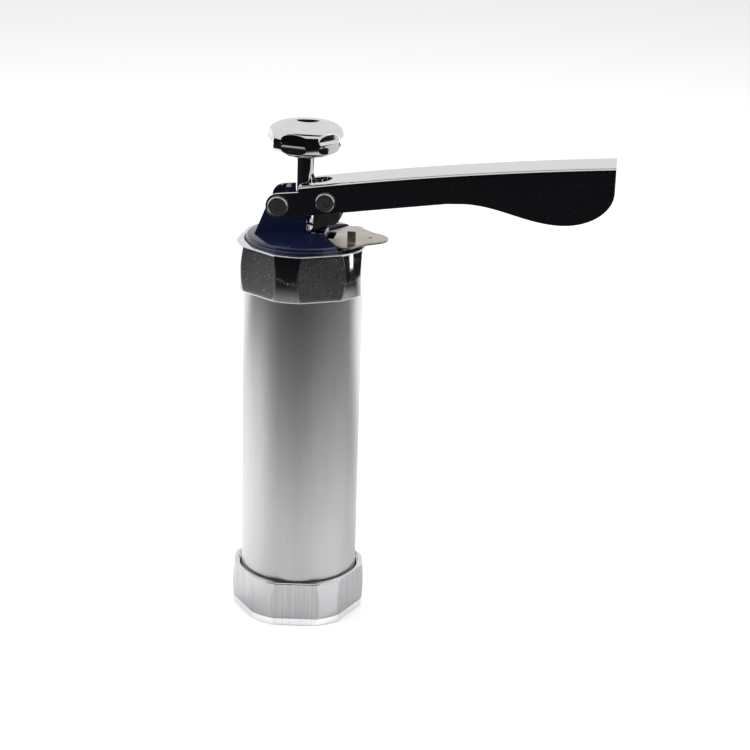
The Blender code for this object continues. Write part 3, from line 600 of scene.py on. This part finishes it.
# ---- Catch plate ----
# Pressed steel plate, nickel plated and matt, that rocks on a cross pin in the head.  Its tongue bites
# the rod's teeth, a thumb tab lifts it, and a folded lug at the front stops the lever.
CATCH_TOP = 181.5
CATCH_SHEET = 1.0
CATCH_LIP_TOP = 183.4
CATCH_STOP = ((20.8, 24.6), (-10.0, -8.9), (181.0, 186.8))
CATCH_TONGUE_HALF = 2.4
CATCH_EAR_Y = 9.5
CATCH_EAR_HALF = 0.6
CATCH_EAR_R = 2.4
CATCH_EAR_TOP = ((13.2, 181.0), (17.6, 181.0))
CATCH_HALF = ((8.75, 5.2), (18.4, 17.5), (23.2, 17.5), (26.0, 13.2), (29.5, 9.6), (35.5, 5.6),
              (37.3, 3.2), (38.0, 1.2))
CATCH_WINDOW = ((10.5, 14.0), 5.2)
CATCH_TONGUE = ((9.2, 181.45), (8.0, 180.9), (4.5, 177.6), (4.5, 176.8), (5.5, 176.6), (9.6, 180.6))
DIMPLE = (29.8, 2.0, 0.35)


def matt_nickel():
    """Nickel on pressed steel: warm, cloudy, with tiny pits and rolling lines."""
    metal = Finish("matt_nickel", (0.66, 0.62, 0.55), 0.34)
    cloud = metal.noise(metal.place, 130, 4.0)
    pits = metal.band(metal.noise(metal.place, 1500, 2.0), 0.62, 0.72)
    rolled = metal.noise(metal.stretched(60, 2200, 400), 1.0, 2.0)
    metal.set("Base Color", metal.blend(metal.band(cloud, 0.3, 0.7), (0.72, 0.68, 0.6), (0.54, 0.5, 0.44)))
    metal.set("Roughness", 0.26 + cloud * 0.14 + rolled * 0.08 + pits * 0.15)
    metal.bump(rolled * 0.4 - pits, 0.00004, 0.5)
    return metal.material


def catch_plate():
    half = softened(CATCH_HALF, 1.2, closed=False)
    outline = [*half, *[(x, -y) for x, y in half[::-1]]]
    sheet = plate("catch_sheet", outline, CATCH_TOP - CATCH_SHEET, CATCH_TOP, material=matt_nickel())
    (left, right), window_y = CATCH_WINDOW
    ear_start, ear_end = CATCH_EAR_TOP
    ear = [ear_start, *arc((CATCH_PIVOT.x, CATCH_PIVOT.z), CATCH_EAR_R, 180, 360, 24), ear_end]
    dimple_x, dimple_r, dimple_depth = DIMPLE
    lip = (CATCH_TOP - CATCH_SHEET, CATCH_LIP_TOP)
    tongue = plate("tongue", CATCH_TONGUE, -CATCH_TONGUE_HALF, CATCH_TONGUE_HALF, upright=True)
    steps = [("DIFFERENCE", block((left, right), (-window_y, window_y), (170, 190))),
             ("UNION", block((left - CATCH_SHEET, left), (-window_y, window_y), lip)),
             ("UNION", block(*CATCH_STOP)), ("UNION", tongue)]
    for side in (-CATCH_EAR_Y, CATCH_EAR_Y):
        low, high = side - CATCH_EAR_HALF, side + CATCH_EAR_HALF
        steps.append(("UNION", plate("ear", ear, low, high, upright=True)))
    steps.append(("DIFFERENCE", crossbar(CATCH_PIVOT, CATCH_HOLE_R, 12.0)))
    dimple = plate("dimple", disc((dimple_x, 0), dimple_r / 2, 24), CATCH_TOP - dimple_depth, 190)
    steps.append(("DIFFERENCE", dimple))
    return carved(sheet, *steps, edge=0.18, crease=35)


catch = catch_plate()
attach(catch, "catch")
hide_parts("catch_plate")

# ---- Catch pin and springs ----
# A plain steel pin carries the catch plate.  Wound springs press the plate's tongue and the drive
# pawl's nose against the rod.
SPRING_STEPS = 28


def brushed_steel(name, fine=1800.0):
    """Steel finished on a wheel: rings round the piece's own axis, with small nicks."""
    metal = Finish(name, (0.56, 0.57, 0.58), 0.28)
    x, y, z = metal.across()
    out = metal.maths("SQRT", x * x + z * z)
    rings = metal.noise(metal.joined(out * fine, y * fine * 0.5, 0.0), 1.0, 2.0)
    nicks = metal.band(metal.noise(metal.place, 1300, 2.0), 0.64, 0.72)
    metal.set("Base Color", metal.blend(nicks, (0.6, 0.61, 0.63), (0.36, 0.36, 0.37)))
    metal.set("Roughness", 0.2 + rings * 0.16 + nicks * 0.15)
    metal.bump(rings - nicks * 0.5, 0.00002, 0.6)
    return metal.material


def drawn_wire(name):
    """Hard drawn wire: long die lines and a slightly oily grey."""
    metal = Finish(name, (0.45, 0.45, 0.46), 0.3)
    lines = metal.noise(metal.place, 1600, 2.0)
    metal.set("Base Color", metal.blend(lines, (0.36, 0.36, 0.37), (0.55, 0.55, 0.57)))
    metal.set("Roughness", 0.22 + lines * 0.16)
    metal.bump(lines, 0.00001, 0.4)
    return metal.material


def coil(name, centre, radius, wire_r, y_from, pitch, turns, start, first, last, material):
    """A wound spring about a Y axis between two straight legs, with origin at the pivot."""
    path = [Vector(first)]
    for i in range(round(turns * SPRING_STEPS) + 1):
        a = math.radians(start + 360 * i / SPRING_STEPS)
        path.append(Vector((centre.x + radius * math.cos(a), y_from + pitch * i / SPRING_STEPS,
                            centre.z + radius * math.sin(a))))
    path.append(Vector(last))
    curve = bpy.data.curves.new(name, "CURVE")
    curve.dimensions = "3D"
    curve.bevel_depth = wire_r * MM
    curve.bevel_resolution = 3
    curve.use_fill_caps = True
    spline = curve.splines.new("POLY")
    spline.points.add(len(path) - 1)
    for point, place in zip(spline.points, path):
        point.co = (*(place - centre) * MM, 1)
    rough = bpy.data.objects.new(name, curve)
    bpy.context.scene.collection.objects.link(rough)
    graph = bpy.context.evaluated_depsgraph_get()
    mesh = bpy.data.meshes.new_from_object(rough.evaluated_get(graph))
    bpy.data.objects.remove(rough)
    bm = bmesh.new()
    bm.from_mesh(mesh)
    bmesh.ops.remove_doubles(bm, verts=bm.verts, dist=0.0000005)
    bm.transform(Matrix.Scale(1 / MM, 4))
    mesh.materials.clear()
    return settle(name, bm, material, centre)


pin_half = reach("catch_pin")[1].y
pin_r = reach("catch_pin")[1].z - CATCH_PIVOT.z
pin = turned("cross_pin", [(0, pin_half), (pin_r, pin_half), (pin_r, -pin_half), (0, -pin_half)],
             brushed_steel("pin_steel"), closed=False, steps=40, spot=CATCH_PIVOT, lying=True)
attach(pin, "head")
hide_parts("catch_pin")

catch_coil = coil("catch_coil", CATCH_PIVOT, radius=1.8, wire_r=0.3, y_from=4.4, pitch=1.0, turns=3.0,
                  start=240, first=(11.6, 4.4, 173.4), last=(12.0, 7.5, 179.7),
                  material=drawn_wire("catch_wire"))
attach(catch_coil, "catch")
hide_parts("catch_spring")

pawl_coil = coil("pawl_coil", PAWL_PIVOT, radius=3.1, wire_r=0.4, y_from=-2.2, pitch=1.4, turns=2.75,
                 start=80, first=(17.2, -2.2, 203.6), last=(12.4, 1.7, 193.2),
                 material=drawn_wire("pawl_wire"))
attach(pawl_coil, "pawl")
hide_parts("pawl_spring")

# ---- Lever ----
# Steel channel, pressed over a former and chromed, open below and at both ends.  Two ears straddle
# the head's tower, and a slot in the web lets the rod rise through it.
LEVER_Y = 9.75
LEVER_SHEET = 1.2
BEND_R = 2.0
EAR_R = 5.6
WEB_START = (-1.6, 205.5)
WEB_CONTROL = (67.0, 216.9)
_, lever_high = reach("handle")
WEB_END = (lever_high.x, lever_high.z)
GRIP_HEEL = (114.0, 195.2)
GRIP_END_Z = 211.2
WAIST = (72.0, 202.3)
SLOT_R = 5.0
SLOT_END_X = 12.2


NEAR = 0.01


def web_line(drop, count=56):
    points = []
    for i in range(count + 1):
        t = i / count
        legs = zip(WEB_START, WEB_CONTROL, WEB_END)
        x, z = ((1 - t) ** 2 * a + 2 * t * (1 - t) * b + t * t * c for a, b, c in legs)
        points.append((x, z - drop))
    return points


def lever_side():
    """Side outline: round the ear, along the underside to the end and back over the top."""
    ear = arc((LEVER_PIVOT.x, LEVER_PIVOT.z), EAR_R, 97, 278, 40)
    waist, heel = [], []
    for i in range(29):
        t = i / 28
        rise = (WAIST[1] - GRIP_HEEL[1]) * (1 + math.cos(math.pi * t)) / 2
        waist.append((WAIST[0] + (GRIP_HEEL[0] - WAIST[0]) * t, GRIP_HEEL[1] + rise))
    for i in range(1, 33):
        a = math.pi / 2 * i / 32
        heel.append((GRIP_HEEL[0] + (WEB_END[0] - GRIP_HEEL[0]) * math.sin(a),
                     GRIP_END_Z - (GRIP_END_Z - GRIP_HEEL[1]) * math.cos(a)))
    return [(-1.6, 203.0), *ear, (64.0, 201.85), *waist, *heel, *web_line(0)[::-1]]


def bent(piece, half, drop, radius, segments):
    """Round the two long edges where the web turns down into the sides."""
    line = web_line(drop)
    bm = bmesh.new()
    bm.from_mesh(piece.data)

    def on_bend(vert):
        p = vert.co / MM
        near = any(abs(p.x - x) < NEAR and abs(p.z - z) < NEAR for x, z in line)
        return near and abs(abs(p.y) - half) < NEAR

    one_side = [e for e in bm.edges if e.verts[0].co.y * e.verts[1].co.y > 0]
    chosen = [e for e in one_side if all(on_bend(v) for v in e.verts)]
    bmesh.ops.bevel(bm, geom=chosen, offset=radius * MM, segments=segments, profile=0.5, affect="EDGES",
                    clamp_overlap=False)
    bm.to_mesh(piece.data)
    bm.free()
    return piece


def mirror_chrome(name):
    """Bright plate on pressed steel: near mirror, with faint specks, wipe marks and a slow waviness."""
    metal = Finish(name, (0.8, 0.8, 0.82), 0.06)
    wave = metal.noise(metal.stretched(14, 14, 30), 1.0, 2.0)
    wipe = metal.noise(metal.stretched(70, 30, 900), 1.0, 3.0)
    specks = metal.band(metal.noise(metal.place, 1700, 1.0), 0.72, 0.76)
    metal.set("Base Color", metal.blend(specks, (0.82, 0.82, 0.84), (0.5, 0.5, 0.52)))
    metal.set("Roughness", 0.035 + metal.band(wipe, 0.45, 0.8) * 0.07 + specks * 0.25)
    metal.bump(wave * 0.7 + specks * 0.05, 0.0004, 0.12)
    return metal.material


def lever_channel():
    lever = bent(plate("lever_channel", lever_side(), -LEVER_Y, LEVER_Y, True, mirror_chrome("lever_chrome")),
                 LEVER_Y, 0, BEND_R, 8)
    inside = LEVER_Y - LEVER_SHEET
    line = web_line(LEVER_SHEET)
    hollow_side = [(-30, 170), (150, 170), (150, line[-1][1]), *line[::-1], (-30, line[0][1])]
    hollow = plate("lever_hollow", hollow_side, -inside, inside, True)
    hollow = bent(hollow, inside, LEVER_SHEET, BEND_R - LEVER_SHEET, 4)
    slot = arc((SLOT_END_X - SLOT_R, 0), SLOT_R, -90, 90, 32) + [(-8, SLOT_R), (-8, -SLOT_R)]
    return carved(lever, ("DIFFERENCE", hollow), ("DIFFERENCE", plate("slot_cut", slot, 203.2, 214.0)),
                  ("DIFFERENCE", crossbar(LEVER_PIVOT, PIN_HOLE_R, 12)),
                  ("DIFFERENCE", crossbar(PAWL_PIVOT, PIN_HOLE_R, 12)), edge=0.22, crease=40)


lever = lever_channel()
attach(lever, "lever")
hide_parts("handle")

# ---- Rivets and spacers ----
# Two shouldered steel rivets with flat chamfered heads: one through the tower, which the lever swings
# on, and one that carries the drive pawl between two washers.
HEAD_THICK = 1.3
SHANK_R = 2.2


def rivet(name, node, centre):
    low, high = reach(node)
    head_r, outer = (high.x - low.x) / 2, high.y
    inner = outer - HEAD_THICK
    half = [(0, outer), (head_r - 0.5, outer), (head_r, outer - 0.5), (head_r, inner), (SHANK_R, inner)]
    profile = half + [(r, -z) for r, z in half[::-1]]
    return turned(name, profile, brushed_steel(name + "_steel"), False, 0.12, 72, centre, lying=True)


pivot_rivet = rivet("lever_rivet", "pivot_rivet", LEVER_PIVOT)
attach(pivot_rivet, "head")
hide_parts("pivot_rivet")

pawl_rivet = rivet("carrier_rivet", "pawl_rivet", PAWL_PIVOT)
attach(pawl_rivet, "lever")
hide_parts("pawl_rivet")

for side in ("front", "rear"):
    low, high = reach("pawl_spacer_" + side)
    outer_r, half = (high.x - low.x) / 2, (high.y - low.y) / 2
    washer = [(outer_r, half), (outer_r, -half), (PIN_HOLE_R, -half), (PIN_HOLE_R, half)]
    middle = Vector((PAWL_PIVOT.x, (low.y + high.y) / 2, PAWL_PIVOT.z))
    steel = brushed_steel(side + "_washer_steel")
    spacer = turned(side + "_washer", washer, steel, True, 0.12, 48, middle, lying=True)
    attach(spacer, "lever")
    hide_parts("pawl_spacer_" + side)

# ---- Drive pawl ----
# Sintered and blackened steel: a solid nose that pushes the rod's ledges down, under two cheeks that
# hang on the second rivet.  Its end face is rough and brownish.
PAWL_Y = 7.0
PAWL_CHEEK_Y = 4.9
PAWL_SIDE = ((5.0, 186.9), (5.0, 186.0), (5.6, 185.6), (8.6, 186.7), (12.6, 188.3), (14.8, 188.5),
             (16.3, 190.0), (17.6, 192.4), (16.6, 194.4), (16.2, 199.0))
PAWL_RELIEF = ((4.8, 187.0), (8.6, 192.1), (8.6, 206.0), (3.0, 206.0), (3.0, 187.0))
PAWL_END_X = (16.2, 17.0)


def blackened_steel():
    metal = Finish("blackened_steel", (0.09, 0.085, 0.085), 0.35, 0.85)
    grain = metal.noise(metal.place, 1100, 4.0)
    patch = metal.noise(metal.place, 180, 3.0)
    x, _, _ = metal.across()
    end = metal.band(x, PAWL_END_X[0] * MM, PAWL_END_X[1] * MM)
    dark = metal.blend(patch, (0.07, 0.068, 0.07), (0.13, 0.125, 0.12))
    metal.set("Base Color", metal.blend(end * grain, dark, (0.26, 0.19, 0.13)))
    metal.set("Roughness", 0.26 + patch * 0.12 + end * 0.25 + grain * 0.08)
    metal.bump(grain, 0.00006, 0.4)
    return metal.material


def nose_block():
    top = arc((PAWL_PIVOT.x, PAWL_PIVOT.z), 5.0, 20, 160, 28)
    outline = [*softened(PAWL_SIDE, 0.8, closed=False), *top, (4.8, 199.0)]
    body = plate("nose_block", outline, -PAWL_Y, PAWL_Y, True, blackened_steel())
    relief = plate("relief", PAWL_RELIEF, -PAWL_CHEEK_Y, PAWL_CHEEK_Y, upright=True)
    between = block((-5, 30), (-PAWL_CHEEK_Y, PAWL_CHEEK_Y), (192.0, 215.0))
    drill = crossbar(PAWL_PIVOT, PIN_HOLE_R, 12)
    cuts = [("DIFFERENCE", tool) for tool in (between, relief, drill)]
    return carved(body, *cuts, edge=0.25, crease=35)


pawl = nose_block()
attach(pawl, "pawl")
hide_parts("drive_pawl")

# ---- Rod ----
# Ground and chromed steel rod with a flat on the lever's side, cut into ratchet teeth whose ledges face
# up.  Its thin lower end takes the piston and its upper stud the knob.
ROD_TAIL_R = 2.2
ROD_STUD_R = 2.6
ROD_BOTTOM = 26.3
ROD_SHOULDER = 217.2
TEETH_FROM = 50.0
TEETH_TO = 194.0
TOOTH_PITCH = 3.2
TOOTH_TIP_X = 3.6
TOOTH_ROOT_X = 2.6
rod_low, rod_high = reach("rod")


def toothed_rod():
    rod_r = rod_high.y
    profile = [(0, rod_high.z), (ROD_STUD_R, rod_high.z), (ROD_STUD_R, ROD_SHOULDER), (rod_r, ROD_SHOULDER),
               (rod_r, ROD_BOTTOM), (ROD_TAIL_R, ROD_BOTTOM), (ROD_TAIL_R, rod_low.z), (0, rod_low.z)]
    rod = turned("toothed_rod", profile, mirror_chrome("rod_chrome"), closed=False, soft=0.3, steps=72)
    saw = [(6.0, TEETH_FROM)]
    for i in range(round((TEETH_TO - TEETH_FROM) / TOOTH_PITCH)):
        low = TEETH_FROM + i * TOOTH_PITCH
        saw += [(TOOTH_ROOT_X, low), (TOOTH_TIP_X, low + TOOTH_PITCH)]
    saw.append((6.0, TEETH_TO))
    return carved(rod, ("DIFFERENCE", plate("teeth_cut", saw, -6, 6, upright=True)), edge=0.1, crease=35)


rod = toothed_rod()
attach(rod, "rod")
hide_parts("rod")

# ---- Piston ----
# White moulded cup with a rubber ring in its groove, which pushes the dough down the barrel.  A washer
# and a hexagon nut hold it on the rod's tail.
PISTON_HUB_R = 8.0
SEAL_Z = 24.6
SEAL_R = 0.85
GROOVE_DEPTH = 1.7
PISTON_WEB = 2.6
POCKET_R = 6.2
NUT_ACROSS = 8.0
TAIL_BORE_R = 2.5


def white_plastic():
    plastic = Finish("white_plastic", (0.75, 0.75, 0.73), 0.4, 0.0)
    skin_noise = plastic.noise(plastic.place, 420, 3.0)
    flow = plastic.noise(plastic.stretched(30, 30, 12), 1.0, 2.0)
    plastic.set("Base Color", plastic.blend(flow, (0.78, 0.78, 0.76), (0.7, 0.7, 0.68)))
    plastic.set("Roughness", 0.34 + skin_noise * 0.14)
    plastic.bump(skin_noise, 0.00004, 0.3)
    return plastic.material


def piston_cup():
    low, high = reach("piston")
    cup_r, hub_top = high.x, high.z
    rim, seat = hub_top - 2.0, ROD_BOTTOM - 0.3
    groove_r, half = cup_r - GROOVE_DEPTH, 1.2
    profile = [(cup_r - 1, rim), (cup_r, rim - 1), (cup_r, SEAL_Z + half), (groove_r, SEAL_Z + half),
               (groove_r, SEAL_Z - half), (cup_r, SEAL_Z - half), (cup_r, low.z + 0.6), (cup_r - 0.6, low.z),
               (POCKET_R, low.z), (POCKET_R, seat - PISTON_WEB), (TAIL_BORE_R, seat - PISTON_WEB),
               (TAIL_BORE_R, seat), (4.5, seat), (4.5, hub_top), (PISTON_HUB_R, hub_top),
               (PISTON_HUB_R, low.z + 4.2), (cup_r - 3.9, low.z + 4.2), (cup_r - 3.9, rim)]
    return turned("piston_cup", profile, white_plastic(), soft=0.25)


piston = piston_cup()
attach(piston, "piston")
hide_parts("piston")

seal_centre = reach("piston_seal")[1].x - SEAL_R
seal = turned("seal_ring", disc((seal_centre, SEAL_Z), SEAL_R, 20), grey_rubber("seal_rubber"))
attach(seal, "piston")
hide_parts("piston_seal")

low, high = reach("piston_washer")
washer_profile = [(high.x, high.z), (high.x, low.z), (TAIL_BORE_R, low.z), (TAIL_BORE_R, high.z)]
washer = turned("plain_washer", washer_profile, brushed_steel("washer_steel"), steps=48)
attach(washer, "rod")
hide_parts("piston_washer")

low, high = reach("piston_nut")
hexagon = arc((0, 0), NUT_ACROSS / math.sqrt(3), 0, 300, 5)
nut = plate("hexagon_nut", hexagon, low.z, high.z, material=brushed_steel("nut_steel"))
nut_drill = plate("nut_drill", disc((0, 0), TAIL_BORE_R), low.z - 1, high.z + 1)
nut = carved(nut, ("DIFFERENCE", nut_drill), edge=0.25)
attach(nut, "rod")
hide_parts("piston_nut")

# ---- Knob ----
# Chromed casting that the hand pulls to draw the rod up: six flats, each broken by a ridge at its
# widest, round a shallow dish.  A brass insert takes the rod's stud.
KNOB_MIDDLE = 225.6
KNOB_UNDER = 219.8
KNOB_TURN = -41.0
KNOB_FLAT_R = 16.05
KNOB_FLAT_FALL = 0.09
KNOB_SHOULDER = 3.3
KNOB_BULGE = 3.8
KNOB_BORE_R = 4.7
KNOB_BOSS_R = 6.2
RIDGE_RISE = 0.22
RIDGE_WIDE = 0.7
knob_low, knob_high = reach("knob")
KNOB_R = 17.0
KNOB_DISH = ((0, 3.0), (1.2, 2.95), (2.0, 3.15), (3.0, 3.3), (4.6, 3.1), (6.0, 2.75), (7.6, 2.2),
             (9.0, 1.5), (10.0, 0.7), (10.6, 0.15))


def knob_grip():
    top, under = knob_high.z, KNOB_UNDER
    rows = []
    inner = [faceted_row(r, KNOB_FLAT_R, top - deep, KNOB_TURN, edge_r=KNOB_R) for r, deep in KNOB_DISH]
    for i in range(37):
        z = top + (under - top) * i / 36
        span = top - KNOB_MIDDLE if z > KNOB_MIDDLE else KNOB_MIDDLE - under
        away = abs(z - KNOB_MIDDLE)
        flat = KNOB_FLAT_R - KNOB_FLAT_FALL * away + RIDGE_RISE * math.exp(-(away / RIDGE_WIDE) ** 2)
        rows.append(faceted_row(KNOB_R - KNOB_SHOULDER * (away / span) ** KNOB_BULGE, flat, z, KNOB_TURN))
    bore_top = rod_high.z + 0.3
    boss = [(7.6, 219.8), (6.7, 219.1), (KNOB_BOSS_R, 218.4), (KNOB_BOSS_R, knob_low.z),
            (KNOB_BORE_R, knob_low.z), (KNOB_BORE_R, bore_top), (0, bore_top)]
    rows += [faceted_row(r, KNOB_FLAT_R, z, KNOB_TURN, edge_r=KNOB_R) for r, z in boss]
    return skin("knob_grip", inner + rows, mirror_chrome("knob_chrome"), closed=False)


knob = knob_grip()
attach(knob, "rod")
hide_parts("knob")

low, high = reach("knob_insert")
insert_profile = [(high.x, high.z), (high.x, low.z), (ROD_STUD_R + 0.3, low.z), (ROD_STUD_R + 0.3, high.z)]
insert = turned("threaded_insert", insert_profile, machined_brass("insert_brass"), steps=48)
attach(insert, "rod")
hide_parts("knob_insert")

# ---- Floor, lights and camera ----
# A white table in a bright room.  Boards seen only in the metal lie on it and stand round it: a fan of
# greys under the press, black beyond that in front and to both sides, one overhead, and a tall window.
CAMERA_FROM_AXIS = Vector((135.27, -884.01, 446.6))
CAMERA_FORWARD = Vector((-0.10678, 0.93142, -0.34792))
CAMERA_ROLL = 1.79
CAMERA_LENS = 99.58


def board(name, corners, colour, glow=0.0, cast=False, tint=None):
    """A flat board seen only in polished metal, unless it is meant to be seen."""
    bm = bmesh.new()
    bm.faces.new([bm.verts.new(Vector(corner)) for corner in corners])
    mesh = bpy.data.meshes.new(name)
    bm.to_mesh(mesh)
    bm.free()
    paint = Finish(name + "_paint", colour, 0.9, 0.0, Specular_IOR_Level=0.0)
    if tint:
        paint.set("Base Color", tint(paint))
    else:
        grain = paint.noise(paint.place, 3.0, 2.0)
        paint.set("Base Color", paint.blend(grain * 0.2, colour, tuple(0.97 * part for part in colour)))
    if glow:
        paint.set("Emission Color", (1, 1, 1, 1))
        paint.set("Emission Strength", glow)
    mesh.materials.append(paint.material)
    made = bpy.data.objects.new(name, mesh)
    made.location = (PRESS_AXIS.x * MM, 0, 0)
    bpy.context.scene.collection.objects.link(made)
    made.visible_camera = made.visible_diffuse = made.visible_shadow = cast
    return made


board("table", ((-4, -4, 0), (4, -4, 0), (4, 4, 0), (-4, 4, 0)), (0.93, 0.93, 0.93), cast=True)
DARK = (0.005, 0.005, 0.006)
FALL_OFF = ((0.0, 0.4), (0.14, 0.46), (0.26, 0.44), (0.42, 0.3), (0.6, 0.16), (0.76, 0.07),
            (0.9, 0.012), (1.0, 0.006))
ROUND = ((0.0, 0.5), (0.05, 0.45), (0.1, 0.2), (0.15, 0.0), (0.3, 0.0), (0.36, 0.1), (0.5, 0.14),
         (0.58, 0.08), (0.64, 0.1), (0.7, 0.7), (0.9, 0.7), (1.0, 0.5))
FALL_REACH = 1 / 2.1
FAN_HALF = 0.47
FAN_Z = 0.0035
DARK_Z = 0.004


def fan_tone(paint):
    """Grey that darkens away from the press, paler to its left and behind it."""
    angle, radius, _ = paint.around()
    fall_stops = [(at, (tone, tone, tone)) for at, tone in FALL_OFF]
    fall = paint.node("ShaderNodeValToRGB", {"stops": fall_stops}, {"Fac": radius * (1 / FALL_REACH)})
    turn = angle * (0.5 / math.pi) + 0.5
    round_stops = [(at, (tone, tone, tone)) for at, tone in ROUND]
    pale = paint.node("ShaderNodeValToRGB", {"stops": round_stops}, {"Fac": turn})
    share = pale * paint.band(radius, 0.36, 0.44, 1.0, 0.0)
    behind = paint.band(radius * paint.maths("SINE", angle), 0.12, 0.3, 0.0, 0.9)
    return paint.blend(paint.maths("MAXIMUM", share, behind), fall, (0.95, 0.95, 0.95))


fan = [(x * FAN_HALF, y * FAN_HALF, FAN_Z) for x, y in ((-1, -1), (1, -1), (1, 1), (-1, 1))]
board("fan", fan, (0.4, 0.4, 0.4), tint=fan_tone)
FLOOR_BOARDS = (
    ("near_dark", -2.5, 2.5, -3.0, -FAN_HALF),
    ("right_dark", FAN_HALF, 2.5, -FAN_HALF, 0.6),
    ("left_dark", -2.5, -FAN_HALF, -FAN_HALF, 0.2))
for name, left, right, near, far in FLOOR_BOARDS:
    flat = ((left, near, DARK_Z), (right, near, DARK_Z), (right, far, DARK_Z), (left, far, DARK_Z))
    board(name, flat, DARK)
board("front_wall", ((-2.5, -2.2, 0), (2.5, -2.2, 0), (2.5, -2.2, 2.6), (-2.5, -2.2, 2.6)), DARK)
window = ((0.67, 0.02, 0.01), (0.67, 0.075, 0.01), (0.67, 0.075, 0.6), (0.67, 0.02, 0.6))
board("window", window, (1, 1, 1), glow=1.1)
board("overhead_dark", ((-0.6, -0.12, 1.1), (0.5, -0.12, 1.1), (0.5, 0.1, 1.1), (-0.6, 0.1, 1.1)), DARK)


def area_light(name, place, target, size, power):
    light = bpy.data.lights.new(name, "AREA")
    light.shape = "RECTANGLE"
    light.size, light.size_y = size
    light.energy = power
    lamp = bpy.data.objects.new(name, light)
    lamp.visible_glossy = False
    lamp.location = place
    lamp.rotation_euler = (Vector(target) - Vector(place)).to_track_quat("-Z", "Y").to_euler()
    bpy.context.scene.collection.objects.link(lamp)


area_light("left_box", (-0.9, -0.35, 0.55), (0, 0, 0.12), (0.35, 0.9), 7)
area_light("top_box", (0.1, 0.1, 1.3), (0, 0, 0.1), (1.0, 0.8), 9)
area_light("right_box", (0.95, 0.25, 0.6), (0, 0, 0.12), (0.3, 0.9), 4)

world = bpy.data.worlds.new("bright_room")
world.use_nodes = True
world.node_tree.nodes["Background"].inputs["Color"].default_value = (1.0, 1.0, 1.0, 1)
world.node_tree.nodes["Background"].inputs["Strength"].default_value = 0.8
bpy.context.scene.world = world
bpy.context.scene.view_settings.view_transform = "Standard"

lens = bpy.data.cameras.new("camera")
lens.sensor_width = 36.0
lens.lens = CAMERA_LENS
camera = bpy.data.objects.new("camera", lens)
roll = Matrix.Rotation(math.radians(CAMERA_ROLL), 4, "Z")
turn = CAMERA_FORWARD.to_track_quat("-Z", "Y").to_matrix().to_4x4() @ roll
camera.matrix_world = Matrix.Translation((PRESS_AXIS + CAMERA_FROM_AXIS) * MM) @ turn
bpy.context.scene.collection.objects.link(camera)
bpy.context.scene.camera = camera
